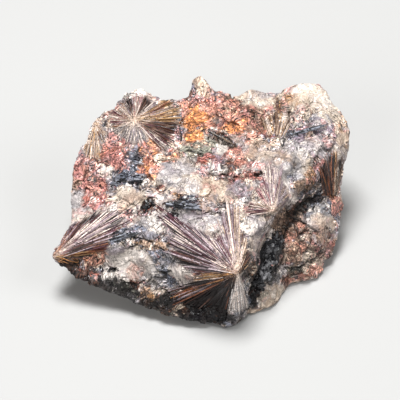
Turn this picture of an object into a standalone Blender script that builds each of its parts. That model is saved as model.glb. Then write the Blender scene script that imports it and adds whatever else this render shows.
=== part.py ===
"""A hand specimen of lamprophyllite: radiating crystal sprays, with aegirine blades, in a broken syenite rock.

Millimetres in the tables, metres in the model. +X runs to the right of the display face, +Y to the back
and +Z up. The specimen rests on its flat broken underside at z = 0, centred over the origin.
"""

import math

import bmesh
import bpy
from mathutils import Matrix, Vector, noise
from mathutils.bvhtree import BVHTree
from mathutils.geometry import delaunay_2d_cdt

MM = 0.001

# The display view: the specimen is laid out as it looks from this elevation and distance. A landmark is
# (across, up, height): where it shows on the display plane, and its height over the ground.
DISPLAY_ELEVATION = math.radians(45)
DISPLAY_DISTANCE = 500.0
DISPLAY_CENTRE = Vector((-0.7, -0.3, 16.5))

# Rim of the display side, from the left tip over the back and down the right side to the front corner.
RIM = [
    (-37.2, -14.0, 12.0),
    (-35.8, -11.7, 12.5),
    (-34.0, -8.9, 13.0),
    (-32.6, -6.8, 13.5),
    (-32.2, -3.0, 14.0),
    (-32.5, 2.0, 15.5),
    (-32.1, 6.8, 17.5),
    (-30.6, 11.5, 19.5),
    (-28.3, 14.8, 21.0),
    (-27.2, 18.0, 22.5),
    (-26.0, 20.6, 24.0),
    (-24.0, 21.8, 25.0),
    (-21.5, 22.6, 26.0),
    (-20.6, 24.5, 27.0),
    (-18.5, 26.8, 29.0),
    (-16.0, 27.7, 29.8),
    (-14.0, 26.9, 29.3),
    (-11.5, 25.8, 28.5),
    (-9.5, 25.1, 28.0),
    (-5.0, 25.2, 28.0),
    (-3.2, 26.0, 28.5),
    (-1.8, 28.3, 30.0),
    (-0.2, 30.5, 31.5),
    (1.0, 30.3, 31.5),
    (2.4, 28.0, 30.0),
    (3.6, 27.3, 29.7),
    (5.2, 27.7, 30.0),
    (7.2, 25.8, 28.5),
    (9.2, 25.8, 28.5),
    (12.8, 27.6, 30.0),
    (16.0, 26.9, 29.5),
    (20.0, 26.9, 29.5),
    (23.0, 28.6, 31.0),
    (26.5, 29.2, 31.5),
    (29.7, 28.5, 31.0),
    (31.8, 26.6, 30.0),
    (32.4, 25.0, 29.0),
    (35.0, 22.6, 27.0),
    (36.3, 20.0, 25.0),
    (37.3, 17.5, 24.0),
    (37.4, 15.0, 22.0),
    (36.6, 11.0, 19.0),
    (35.5, 6.5, 16.0),
    (34.9, 3.0, 14.0),
    (35.3, 0.0, 12.0),
    (35.3, -4.0, 8.0),
    (34.2, -8.0, 6.0),
    (33.7, -11.0, 4.0),
    (32.6, -13.7, 2.5),
    (31.0, -15.2, 2.0),
    (30.2, -18.0, 1.0),
    (29.5, -19.9, 0.5),
    (25.5, -20.7, 0.0),
    (22.4, -21.3, 0.0),
    (20.8, -23.5, 0.0),
    (20.0, -25.6, 0.0),
    (18.0, -27.0, 0.0),
    (15.2, -27.7, 0.5),
    (13.6, -28.8, 0.5),
    (12.0, -28.5, 0.5),
    (10.6, -30.3, 0.5),
    (8.8, -31.5, 0.5),
    (6.5, -32.0, 0.5),
    (3.5, -31.0, 1.0),
    (-1.5, -30.1, 2.5),
    (-7.0, -29.0, 3.0),
    (-12.0, -27.4, 3.5),
    (-17.0, -25.4, 4.5),
    (-22.0, -23.1, 5.5),
    (-28.0, -20.9, 7.5),
    (-31.0, -19.5, 8.5),
    (-33.7, -17.3, 10.0),
    (-36.2, -15.8, 11.5),
]

# Landmarks on the display side, inside the rim.
DISPLAY_SIDE = [
    # the back plateau
    (-16.4, 19.8, 26.3),
    (-16.5, 24.5, 28.2),
    (-11.0, 22.0, 27.4),
    (-23.5, 18.5, 24.2),
    (-6.5, 22.0, 27.5),
    (-2.0, 23.5, 28.6),
    (0.5, 27.0, 29.8),
    (-0.1, 29.2, 31.1),
    (5.0, 23.0, 28.8),
    (5.3, 26.2, 29.5),
    (12.0, 23.5, 28.9),
    (19.0, 22.5, 28.3),
    (26.0, 24.5, 31.2),
    (31.5, 21.5, 28.8),
    # the band below it
    (-26.5, 12.5, 21.8),
    (-9.0, 17.0, 25.2),
    (-5.5, 15.5, 25.6),
    (-1.5, 18.5, 28.0),
    (4.5, 16.0, 27.2),
    (8.5, 19.0, 28.4),
    (16.0, 18.5, 27.0),
    (24.0, 16.5, 27.6),
    (31.5, 15.5, 26.6),
    (34.5, 15.0, 24.0),
    (-28.5, 7.0, 19.3),
    (-21.0, 10.5, 24.6),
    (-12.0, 11.0, 25.6),
    (-4.0, 10.5, 25.4),
    (3.5, 10.5, 26.6),
    (10.0, 10.0, 27.0),
    (17.0, 10.5, 27.2),
    (25.0, 11.0, 27.0),
    (31.2, 9.0, 23.5),
    (33.6, 7.5, 18.5),
    # the middle band, down to the ledge
    (-28.0, 1.0, 17.6),
    (-18.0, 4.5, 22.8),
    (-16.5, 1.5, 23.2),
    (-8.5, 5.5, 25.2),
    (-3.0, 5.0, 26.0),
    (-2.5, -1.2, 24.0),
    (5.0, 4.0, 25.2),
    (12.0, 4.5, 26.2),
    (18.3, 5.0, 26.6),
    (25.5, 4.5, 24.0),
    (31.5, 2.5, 17.5),
    (-24.5, -3.5, 18.2),
    (-12.0, -2.0, 22.2),
    (4.5, -3.0, 24.2),
    (10.5, -1.5, 24.6),
    (18.2, -2.8, 24.2),
    # the seam that parts the lower right side from the face
    (27.5, -0.5, 16.2),
    (23.0, -4.5, 14.8),
    (18.8, -9.0, 14.0),
    (16.8, -13.5, 12.5),
    (14.6, -18.5, 9.5),
    (13.0, -23.5, 5.0),
    # the apron that falls to the front ridge
    (-29.0, -7.0, 15.2),
    (-18.0, -6.5, 19.0),
    (-9.5, -6.5, 21.4),
    (0.0, -8.0, 22.4),
    (8.5, -9.0, 22.8),
    (15.5, -6.5, 22.4),
    (13.5, -11.5, 19.5),
    # the front ridge
    (-35.0, -13.0, 12.9),
    (-28.0, -11.2, 14.6),
    (-18.0, -10.8, 17.6),
    (-9.0, -12.2, 19.3),
    (0.0, -16.0, 19.9),
    (4.5, -18.0, 19.9),
    (9.2, -18.3, 20.2),
    (12.0, -17.5, 17.5),
    # the front face under the ridge
    (-30.5, -15.5, 10.6),
    (-25.0, -17.0, 10.0),
    (-18.0, -17.5, 11.2),
    (-11.0, -18.5, 11.0),
    (-15.0, -22.5, 7.0),
    (-4.5, -20.0, 13.2),
    (-5.5, -24.5, 7.2),
    (3.0, -24.0, 9.0),
    (2.5, -28.0, 4.0),
    (9.0, -23.0, 13.0),
    (9.0, -27.5, 7.0),
    # the lumps right of the seam
    (31.0, -2.5, 14.6),
    (30.0, -6.8, 11.5),
    (25.5, -8.2, 12.8),
    (24.5, -12.0, 11.5),
    (29.0, -11.5, 9.0),
    (22.0, -16.5, 7.0),
    (26.5, -17.5, 4.8),
    (19.5, -19.5, 6.2),
    (17.0, -24.0, 4.4),
]

# Landmarks of the hidden side, as x, y and z. Those below zero lie under the cut of the resting face.
HIDDEN_SIDE = [
    # the back wall, half way down and at its foot
    (-30.2, 7.2, 9.5),
    (-25.7, 17.7, 12.0),
    (-16.7, 23.7, 14.5),
    (-6.2, 24.0, 15.0),
    (1.3, 27.0, 17.0),
    (11.3, 26.0, 14.0),
    (23.3, 26.7, 17.0),
    (31.3, 20.7, 14.0),
    (33.3, 9.2, 8.0),
    (-20.7, 17.2, 4.0),
    (-9.7, 21.2, 4.5),
    (4.3, 23.7, 4.0),
    (16.3, 23.2, 3.0),
    (26.3, 17.7, 3.5),
    # close under the rim
    (-16.5, 25.4, 25.0),
    (-7.0, 23.8, 23.5),
    (-0.2, 27.0, 26.0),
    (27.0, 27.6, 26.0),
    # the edge of the underside
    (-14.7, 15.2, -0.6),
    (1.3, 18.7, -0.6),
    (17.3, 17.7, -0.6),
    (26.8, 8.2, -0.6),
    (-23.7, 7.2, -0.4),
    (-27.7, -1.8, 3.5),
    (-28.7, -10.8, 5.5),
    (-20.7, -8.8, -0.5),
    (-21.2, -16.3, 2.5),
    (-9.7, -18.8, -0.4),
    (-8.7, -23.3, 1.4),
    (3.3, -24.8, -0.5),
    (14.3, -18.8, -0.7),
    (23.3, -9.3, -0.7),
    (27.3, -3.8, -0.5),
    # under the resting face
    (-8.7, 1.2, -2.4),
    (7.3, 3.2, -2.4),
    (4.3, -10.8, -2.4),
    (3.5, -16.5, -2.0),
]

# How fine the rock's facets are, and how rough.
DISPLAY_FACET = 3.1
HIDDEN_FACET = 5.6
REFINING_PASSES = 3
ROUNDING = 0.3
GRAIN = 5.5
GRAIN_STEP = 1.1
ROLL = 12.0
ROLL_HEIGHT = 0.9
SWELL = 0.25
CALM_RIM = 5.0

# The sprays: hub on the display plane, number of ridged rays, and how far the rays reach at each angle,
# counted in degrees from +X towards the top of the display face.
SPRAYS = {
    "front_corner_spray": {
        "hub": (9.2, -18.4),
        "rays": 26,
        "reach": [
            (36, 4.5), (55, 8), (74, 9.5), (84, 15), (90, 17), (99, 17.5), (112, 12.5), (122, 12),
            (129, 13.5), (136, 18.5), (142, 24), (150, 23), (158, 20), (167, 16.5), (184, 11),
            (190, 16), (197, 18.5), (204, 17.5), (213, 12), (225, 8), (245, 7), (258, 8.5),
            (272, 9.5), (285, 8.5), (297, 6),
        ],
    },
    "left_tip_spray": {
        "hub": (-36.2, -13.9),
        "rays": 14,
        "reach": [
            (-26, 4), (-16, 6.5), (-6, 6), (4, 8.5), (11, 13.5), (18, 15.5), (23, 19.5), (28, 21.5),
            (35, 19.8), (40, 17), (44, 13), (50, 8),
        ],
    },
    "upper_left_star": {
        "hub": (-16.4, 19.9),
        "rays": 24,
        "reach": [
            (-48, 9), (-42, 12.3), (-35, 9.5), (-25, 11), (-15, 11.8), (0, 11.5), (15, 11.8), (27, 11.5),
            (40, 7.3), (55, 6.8), (75, 6.4), (95, 6.2), (110, 6.2), (130, 5.6), (150, 5.2), (170, 7),
            (190, 7.2), (215, 6.8), (235, 5.6), (255, 6), (275, 6.4), (295, 5.6), (312, 9),
        ],
    },
    "left_edge_spray": {
        "hub": (-26.2, 19.2),
        "rays": 7,
        "reach": [(254, 9), (268, 9), (280, 6.5), (300, 5.2), (318, 4.2)],
    },
    "right_spray": {
        "hub": (18.2, -2.8),
        "rays": 16,
        "reach": [
            (38, 4.4), (48, 5.2), (58, 6), (73, 8), (84, 12), (90, 12.8), (98, 11.5), (107, 9.4), (119, 8.6),
            (130, 6), (145, 4.5), (160, 5), (172, 7.5), (182, 7.5), (190, 6.5),
        ],
    },
    "right_edge_spray": {
        "hub": (33.2, 1.6),
        "rays": 8,
        "reach": [(76, 9), (84, 12), (94, 11), (104, 8.5), (112, 6)],
    },
    "back_rim_spray": {
        "hub": (18.6, 16.4),
        "rays": 10,
        "reach": [(40, 4), (52, 5), (68, 7.5), (82, 9), (90, 9), (100, 8), (115, 6), (135, 4.5)],
    },
}

# A ray's place along its length, how far its ridge stands out there and how deep the spray's bed is.
RAY_STATIONS = [0.22, 0.6, 1.0]
RIDGE_HEIGHTS = [0.9, 0.8, 0.25]
VALLEY_HEIGHTS = [0.45, 0.15, -0.1]
BED_DEPTHS = [2.4, 2.0, 1.1]
HUB_HEIGHT = 0.9
HUB_DEPTH = 2.6
STRAIGHTNESS = 0.6
VALLEY_REACH = 0.9
RIM_MARGIN = 1.6
# Close to the rim, where the rock is thin, the beds get shallow.
THIN_EDGE = 5.0
THIN_BED = 0.3
# How unevenly the rays are spaced, reach and stand out.
ANGLE_WANDER = 0.7
REACH_WANDER = 0.1
HEIGHT_WANDER = 0.45

# Aegirine crystals: both ends on the display plane, and the radius.
BLADES = {
    "aegirine_blade_upper": ((2.2, 17.0), (9.2, 13.7), 0.75),
    "aegirine_blade_right": ((22.6, 15.9), (31.0, 18.9), 0.8),
    "aegirine_ledge_left": ((-22.2, 3.6), (-14.2, 4.9), 1.1),
    "aegirine_ledge_middle": ((-8.2, -1.3), (0.2, -2.2), 1.2),
    "aegirine_clump": ((-13.4, -2.4), (-12.6, -0.4), 1.2),
    "aegirine_band": ((-12.2, -8.8), (-16.4, -7.8), 0.9),
    "aegirine_seam": ((18.2, -11.0), (14.4, -19.6), 2.0),
}
BLADE_SIDES = 6
BLADE_FLATNESS = 0.75
BLADE_SINK = 0.25
BLADE_LIFT = 0.6
POINT_LENGTH = 0.8

# Clear space between a crystal and its bed, and how far a cutter stands out of the rock.
CLEARANCE = 0.35
BED_SLACK = 2.6
HUB_SLACK = 4
CUTTER_HEIGHT = 4.0

COLOURS = {
    "matrix": ((0.62, 0.56, 0.50), 0.75),
    "spray": ((0.42, 0.30, 0.25), 0.4),
    "aegirine": ((0.05, 0.055, 0.065), 0.35),
}


def sight(across, up):
    """The eye of the display view, and the direction in which it sees a place on the display plane."""
    toward = Vector((0, -math.cos(DISPLAY_ELEVATION), math.sin(DISPLAY_ELEVATION)))
    upward = Vector((0, math.sin(DISPLAY_ELEVATION), math.cos(DISPLAY_ELEVATION)))
    eye = DISPLAY_CENTRE + toward * DISPLAY_DISTANCE
    place = DISPLAY_CENTRE + Vector((across, 0, 0)) + upward * up
    return eye, (place - eye).normalized()


def landmark(across, up, height):
    """The point at this height that the display view shows at (across, up)."""
    eye, ray = sight(across, up)
    return eye + ray * ((height - eye.z) / ray.z)


def on_display_plane(point):
    """Where the display view shows a point, as (across, up)."""
    eye, axis = sight(0, 0)
    upward = Vector((0, math.sin(DISPLAY_ELEVATION), math.cos(DISPLAY_ELEVATION)))
    ray = point - eye
    reach = DISPLAY_DISTANCE / ray.dot(axis)
    return Vector((ray.x * reach, ray.dot(upward) * reach))


def triangulated(flat_points, rim_count):
    """Triangles over flat points whose first rim_count are the closed boundary, always in the same order."""
    rim_edges = [(i, (i + 1) % rim_count) for i in range(rim_count)]
    _, _, faces, origins, _, _ = delaunay_2d_cdt(flat_points, rim_edges, [], 1, 1e-6)
    triangles = []
    for face in faces:
        corners = [origins[corner][0] for corner in face]
        first = corners.index(min(corners))
        triangles.append(tuple(corners[first:] + corners[:first]))
    return sorted(triangles)


def rock_shell():
    """The rock's outer form: two triangulated sides that meet along the rim."""
    rim = [landmark(*place) for place in RIM]
    shown = [landmark(*place) for place in DISPLAY_SIDE]
    hidden = [Vector(place) for place in HIDDEN_SIDE]
    mesh = bmesh.new()
    on_rim = [mesh.verts.new(point) for point in rim]
    for inner in (shown, hidden):
        corners = on_rim + [mesh.verts.new(point) for point in inner]
        flat = [on_display_plane(corner.co) for corner in corners]
        for triangle in triangulated(flat, len(rim)):
            mesh.faces.new([corners[index] for index in triangle])
    bmesh.ops.recalc_face_normals(mesh, faces=mesh.faces[:])
    return mesh


def divide_long_edges(mesh):
    """Halves the long edges, in passes, and keeps the faces triangles; finer where the display view looks."""
    away = sight(0, 0)[1]
    for _ in range(REFINING_PASSES):
        mesh.normal_update()
        long_edges = []
        for edge in mesh.edges:
            seen = any(face.normal.dot(away) < 0 for face in edge.link_faces)
            if edge.calc_length() > (DISPLAY_FACET if seen else HIDDEN_FACET):
                long_edges.append(edge)
        bmesh.ops.subdivide_edges(mesh, edges=long_edges, cuts=1)
        bmesh.ops.triangulate(mesh, faces=mesh.faces[:])


def broken_surface(point):
    """How far the rock stands out at a point: a slow roll, and steps from grain to grain."""
    roll = noise.noise(point / ROLL) * ROLL_HEIGHT
    bend = Vector([noise.noise(point / GRAIN + Vector((0, 0, shift))) for shift in (3.1, 7.7, 12.3)])
    warped = point + bend * GRAIN / 4
    grain = noise.voronoi(warped / GRAIN)[1][0]
    step = (noise.cell(grain * 7.3) - 0.5) * GRAIN_STEP
    return SWELL + roll + step


def rim_distance(place):
    """How far a place on the display plane lies from the rim."""
    corners = [Vector(corner[:2]) for corner in RIM]
    nearest = []
    for first, second in zip(corners, corners[1:] + corners[:1]):
        along = second - first
        share = max(0, min(1, (place - first).dot(along) / along.length_squared))
        nearest.append((first + along * share - place).length)
    return min(nearest)


def roughen(mesh):
    """Rounds the rock's sides and breaks them into grains, more gently close to the rim."""
    calm = {vertex: min(1, rim_distance(on_display_plane(vertex.co)) / CALM_RIM) for vertex in mesh.verts}
    inner = [vertex for vertex in mesh.verts if calm[vertex] > 0.1]
    bmesh.ops.smooth_vert(
        mesh, verts=inner, factor=ROUNDING, use_axis_x=True, use_axis_y=True, use_axis_z=True
    )
    mesh.normal_update()
    moves = [vertex.normal * broken_surface(vertex.co) * calm[vertex] for vertex in mesh.verts]
    for vertex, move in zip(mesh.verts, moves):
        vertex.co = [round(value, 2) for value in vertex.co + move]


def cut_resting_face(mesh):
    """Cuts the rock flat at z = 0, so that it can stand."""
    everything = mesh.verts[:] + mesh.edges[:] + mesh.faces[:]
    bmesh.ops.bisect_plane(
        mesh, geom=everything, plane_co=(0, 0, 0), plane_no=(0, 0, -1), clear_outer=True
    )
    open_edges = [edge for edge in mesh.edges if edge.is_boundary]
    bmesh.ops.holes_fill(mesh, edges=open_edges, sides=0)
    bmesh.ops.triangulate(mesh, faces=mesh.faces[:], ngon_method="BEAUTY")


def rock():
    """The whole rock, before the crystals' beds are cut into it."""
    mesh = rock_shell()
    divide_long_edges(mesh)
    roughen(mesh)
    cut_resting_face(mesh)
    return mesh


def interpolated(pairs, position):
    """The value at a position between listed (position, value) pairs."""
    for (low, low_value), (high, high_value) in zip(pairs, pairs[1:]):
        if position <= high:
            share = (position - low) / (high - low)
            return low_value + (high_value - low_value) * share
    return pairs[-1][1]


def seen_depth(surface, across, up):
    """How far from the eye the rock's surface shows at a place on the display plane, or None."""
    eye, ray = sight(across, up)
    return surface.ray_cast(eye, ray)[3]


def wander(seed, step):
    """An uneven value from -1 to 1 for each step, always the same for the same seed."""
    return max(-1, min(1, 2 * noise.noise(Vector((seed.x * 0.37, seed.y * 0.37, step * 0.71 + 0.2)))))


def ray_line(surface, hub, angle, length):
    """The places of a ray's stations, how deep they and the ground under them are seen, and its direction."""
    way = Vector((math.cos(math.radians(angle)), math.sin(math.radians(angle))))
    for _ in range(40):
        end = hub + way * length
        if seen_depth(surface, *end) and rim_distance(end) > RIM_MARGIN:
            break
        length -= 0.2
    hub_seen = seen_depth(surface, *hub)
    end_seen = seen_depth(surface, *end)
    stations = []
    for station in RAY_STATIONS:
        place = hub + way * length * station
        ground = seen_depth(surface, *place)
        straight = hub_seen + (end_seen - hub_seen) * station
        stations.append((place, straight * STRAIGHTNESS + ground * (1 - STRAIGHTNESS), ground))
    return stations, way


def spray_solid(surface, spray, grow=0.0):
    """A fan of straight ridged rays round a hub, let into the rock. With grow it is the cutter of its bed."""
    hub = Vector(spray["hub"])
    reach = spray["reach"]
    turn = reach[-1][0] - reach[0][0]
    closed = turn > 355
    spacing = turn / (2 * spray["rays"])
    last = 2 * spray["rays"] - (1 if closed else 0)
    hub_seen = seen_depth(surface, *hub)
    mesh = bmesh.new()

    def column(place, line, ground, height, bed):
        eye, ray = sight(*place)
        bed *= max(THIN_BED, min(1, rim_distance(place) / THIN_EDGE))
        top = eye + ray * (line - height - (CUTTER_HEIGHT if grow else 0))
        bottom = eye + ray * (max(line, ground) + bed + BED_SLACK * grow)
        return mesh.verts.new(top), mesh.verts.new(bottom)

    middle = math.radians(reach[0][0] + turn / 2)
    away = Vector((math.cos(middle), math.sin(middle))) * (0 if closed else 2 * grow)
    hub_column = column(hub - away, hub_seen, hub_seen, HUB_HEIGHT, HUB_DEPTH + HUB_SLACK * grow)
    rows = []
    for step in range(last + 1):
        ridge = step % 2 == 1
        inner = closed or 0 < step < last
        angle = reach[0][0] + spacing * (step + (ANGLE_WANDER * wander(hub, step) / 2 if inner else 0))
        length = interpolated(reach, angle) * (1 + REACH_WANDER * wander(hub, step + 100))
        stations, way = ray_line(surface, hub, angle, length * (1 if ridge else VALLEY_REACH))
        outward = Vector((way.y, -way.x)) * grow
        sideways = Vector((0, 0)) if inner else (outward if step == 0 else -outward)
        stand = 1 + HEIGHT_WANDER * wander(hub, step + 200)
        row = []
        for number, (place, line, ground) in enumerate(stations):
            height = (RIDGE_HEIGHTS if ridge else VALLEY_HEIGHTS)[number] * stand
            spot = place + way * grow * RAY_STATIONS[number] + sideways
            row.append(column(spot, line, ground, height, BED_DEPTHS[number]))
        rows.append(row)

    def quad(first, second, third, fourth):
        mesh.faces.new((first, second, third))
        mesh.faces.new((first, third, fourth))

    following = rows[1:] + (rows[:1] if closed else [])
    for row, beside in zip(rows, following):
        for level in (0, 1):
            mesh.faces.new((hub_column[level], row[0][level], beside[0][level]))
            for near, far in ((0, 1), (1, 2)):
                quad(row[near][level], row[far][level], beside[far][level], beside[near][level])
        quad(row[-1][0], row[-1][1], beside[-1][1], beside[-1][0])
    if not closed:
        for row in (rows[0], rows[-1]):
            columns = [hub_column] + row
            for near, far in zip(columns, columns[1:]):
                quad(near[0], far[0], far[1], near[1])
    bmesh.ops.recalc_face_normals(mesh, faces=mesh.faces[:])
    eye, ray = sight(*hub)
    return mesh, eye + ray * hub_seen


def blade_solid(surface, blade, grow=0.0):
    """A six-sided crystal with blunt points, lying in the rock. With grow it is the cutter of its bed."""
    first, second, radius = blade
    first_seen = seen_depth(surface, *first)
    second_seen = seen_depth(surface, *second)
    rises = []
    for share in (0.25, 0.5, 0.75):
        between = Vector(first).lerp(Vector(second), share)
        line = first_seen + (second_seen - first_seen) * share
        rises.append(line - seen_depth(surface, *between))
    lift = max(0, max(rises)) * BLADE_LIFT - BLADE_SINK * radius
    ends = []
    for place, seen in ((first, first_seen), (second, second_seen)):
        eye, ray = sight(*place)
        ends.append(eye + ray * (seen - lift))
    axis = ends[1] - ends[0]
    centre = (ends[0] + ends[1]) / 2
    mesh = bmesh.new()
    tip = radius * POINT_LENGTH
    half = axis.length / 2
    stations = [(-half - tip - grow, 0.3), (-half, 1), (half, 1), (half + tip + grow, 0.3)]
    rings = []
    for along, share in stations:
        across = radius * share + grow
        ring = []
        for side in range(BLADE_SIDES):
            turn = 2 * math.pi * (side + 0.5) / BLADE_SIDES
            ring.append(mesh.verts.new((math.cos(turn) * across, math.sin(turn) * across * BLADE_FLATNESS, along)))
        rings.append(ring)
    for lower, upper in zip(rings, rings[1:]):
        for side in range(BLADE_SIDES):
            beside = (side + 1) % BLADE_SIDES
            mesh.faces.new((lower[side], lower[beside], upper[beside], upper[side]))
    mesh.faces.new(reversed(rings[0]))
    mesh.faces.new(rings[-1])
    bmesh.ops.triangulate(mesh, faces=mesh.faces[:])
    bmesh.ops.recalc_face_normals(mesh, faces=mesh.faces[:])
    return mesh, centre, axis


def material(name):
    """A plain material in the mineral's own colour."""
    colour, roughness = COLOURS[name]
    made = bpy.data.materials.new(name)
    made.use_nodes = True
    shader = made.node_tree.nodes["Principled BSDF"]
    shader.inputs["Base Color"].default_value = (*colour, 1)
    shader.inputs["Roughness"].default_value = roughness
    made.diffuse_color = (*colour, 1)
    return made


def add_object(name, mesh, finish, group):
    """Puts a mesh in millimetres into the scene, in metres."""
    mesh.transform(Matrix.Scale(MM, 4))
    data = bpy.data.meshes.new(name)
    mesh.to_mesh(data)
    mesh.free()
    placed = bpy.data.objects.new(name, data)
    if finish:
        data.materials.append(finish)
    else:
        placed.hide_render = True
        placed.display_type = "WIRE"
    group.objects.link(placed)
    return placed


def collection(name):
    """A new collection in the scene."""
    group = bpy.data.collections.new(name)
    bpy.context.scene.collection.children.link(group)
    return group


def body_of(start):
    """All vertices joined to one by edges."""
    found = {start}
    waiting = [start]
    while waiting:
        for edge in waiting.pop().link_edges:
            for vertex in edge.verts:
                if vertex not in found:
                    found.add(vertex)
                    waiting.append(vertex)
    return found


def keep_largest_body(placed):
    """Applies an object's modifiers, and clears away the chips that its cuts leave loose."""
    bpy.context.view_layer.update()
    cut = bpy.data.meshes.new_from_object(placed.evaluated_get(bpy.context.evaluated_depsgraph_get()))
    placed.modifiers.clear()
    mesh = bmesh.new()
    mesh.from_mesh(cut)
    left = set(mesh.verts)
    bodies = []
    while left:
        body = body_of(next(iter(left)))
        bodies.append(body)
        left -= body
    largest = max(bodies, key=len)
    loose = [vertex for vertex in mesh.verts if vertex not in largest]
    bmesh.ops.delete(mesh, geom=loose, context="VERTS")
    mesh.to_mesh(placed.data)
    mesh.free()
    bpy.data.meshes.remove(cut)


def main():
    for old in list(bpy.data.objects):
        bpy.data.objects.remove(old)
    specimen = collection("lamprophyllite")
    cutters = collection("crystal_beds")
    finishes = {name: material(name) for name in COLOURS}
    body = rock()
    surface = BVHTree.FromBMesh(body)
    matrix = add_object("matrix", body, finishes["matrix"], specimen)

    for name, spray in SPRAYS.items():
        for group, finish, grow in ((specimen, finishes["spray"], 0.0), (cutters, None, CLEARANCE)):
            mesh, hub = spray_solid(surface, spray, grow)
            bmesh.ops.translate(mesh, verts=mesh.verts[:], vec=-hub)
            label = name if finish else name + "_bed"
            add_object(label, mesh, finish, group).location = hub * MM

    for name, blade in BLADES.items():
        for group, finish, grow in ((specimen, finishes["aegirine"], 0.0), (cutters, None, CLEARANCE)):
            mesh, centre, axis = blade_solid(surface, blade, grow)
            label = name if finish else name + "_bed"
            crystal = add_object(label, mesh, finish, group)
            crystal.location = centre * MM
            crystal.rotation_euler = axis.to_track_quat("Z", "Y").to_euler()

    beds = matrix.modifiers.new("beds", "BOOLEAN")
    beds.operation = "DIFFERENCE"
    beds.solver = "EXACT"
    beds.operand_type = "COLLECTION"
    beds.collection = cutters
    keep_largest_body(matrix)


main()
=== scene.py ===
"""Looks of a lamprophyllite hand specimen: broken syenite with radiating crystal sprays and aegirine."""

import itertools
import math
import random

import bmesh
import bpy
import numpy as np
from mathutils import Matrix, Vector
from mathutils.bvhtree import BVHTree


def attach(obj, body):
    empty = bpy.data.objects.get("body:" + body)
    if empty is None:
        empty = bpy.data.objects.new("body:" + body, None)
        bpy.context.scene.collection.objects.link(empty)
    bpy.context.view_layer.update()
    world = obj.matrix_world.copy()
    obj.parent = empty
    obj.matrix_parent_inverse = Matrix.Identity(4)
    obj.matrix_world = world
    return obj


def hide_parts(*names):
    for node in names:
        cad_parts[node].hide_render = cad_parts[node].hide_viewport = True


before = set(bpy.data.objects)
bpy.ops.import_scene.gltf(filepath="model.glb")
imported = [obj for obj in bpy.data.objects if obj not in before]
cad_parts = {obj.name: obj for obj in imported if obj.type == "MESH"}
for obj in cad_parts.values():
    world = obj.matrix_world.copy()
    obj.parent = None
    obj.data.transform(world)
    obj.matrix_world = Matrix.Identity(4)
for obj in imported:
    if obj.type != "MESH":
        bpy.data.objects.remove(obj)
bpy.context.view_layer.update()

MM = 0.001
MM_IN_METRE = 1000.0
TURN = 6.28

# The display view, the same as the solids are laid out for.
DISPLAY_ELEVATION = math.radians(45)
DISPLAY_DISTANCE = 500.0
DISPLAY_CENTRE = Vector((-0.7, -0.3, 16.5))
DISPLAY_WIDTH = 100.0
SENSOR = 36.0
TOWARD = Vector((0, -math.cos(DISPLAY_ELEVATION), math.sin(DISPLAY_ELEVATION)))
UPWARD = Vector((0, math.sin(DISPLAY_ELEVATION), math.cos(DISPLAY_ELEVATION)))
EYE = DISPLAY_CENTRE + TOWARD * DISPLAY_DISTANCE

# The rock's skin: its voxels, how far the crystals and then the skin are swollen, and how squarely a face has
# to look at the display view to be made finer.
SKIN_VOXEL = 0.61
CRYSTAL_SWELL = 0.3
SKIN_SWELL = 0.35
SKIN_SMOOTHING = 2
WELD = 1e-7
FINER_FACING = 0.05

# Its grains from broad to fine: how far each face tilts and steps. A stray is smooth noise that moves a
# place: its size, its seed and its reach.
GRAINS = [
    {"size": 4.2, "tilt": 0.12, "step": 0.12, "seed": 11},
    {"size": 1.9, "tilt": 0.11, "step": 0.04, "seed": 12},
    {"size": 0.8, "tilt": 0.1, "step": 0.02, "seed": 13},
]
GRAIN_CHANCE_SEED = 50
GRAIN_STRAY = (1.4, 21, 0.9)

# How much of a lath's length counts where grains are drawn out into laths, and the share that follow the
# broad grains. Rolls are soft swellings, with a size and an amount.
LATH_STRETCH = 0.3
BROAD_LATHS = 0.6
ROLLS = ((3.0, 0.45), (1.3, 0.26))
ROLL_SEED = 61

# Broad broken faces on the sides that the display view doesn't see.
BACK_FACETS = {"size": 9.0, "seed": 14}
BACK_FACET_TILT = 0.13
BACK_FACET_STRAY = (4.0, 22, 2.0)

# Cracks between grains, and the share of broad and middling grains that have them.
CRACK_DEPTH = 0.22
CRACK_WIDTH = 0.2
CRACKED_SHARES = (0.45, 0.14)

# How much less relief there is under a spray and in quiet grains, how high above the resting face it begins
# and is full, what counts as the resting face, and how deep a hollow is for its painted shade to be fully
# dark.
BED_CALM = 0.8
QUIET_CALM = 0.5
FOOT = (0.15, 1.6)
FLAT_BASE = 0.02
HOLLOW_DEPTH = 0.5

# How squarely the skin faces the display view: from hidden to shown, and from shown to wholly hidden.
SHOWN_FACING = (-0.25, -0.05)
HIDDEN_FACING = (-0.3, -0.7)

# Where the back rim is drawn out, as at the pointed crystal: the place, how far round it the pull reaches,
# and how far it pulls. The relief is calmer there.
RIM_POINTS = [
    ((-0.4, 27.6, 31.0), 4.2, 3.8), ((12.4, 25.2, 29.6), 3.4, 0.7), ((-15.5, 25.4, 28.4), 4.0, 0.8),
    ((-25.4, 20.6, 25.0), 3.6, 0.5),
]
RIM_CALM = 0.8
RIM_CALM_EDGE = 0.4
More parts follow.
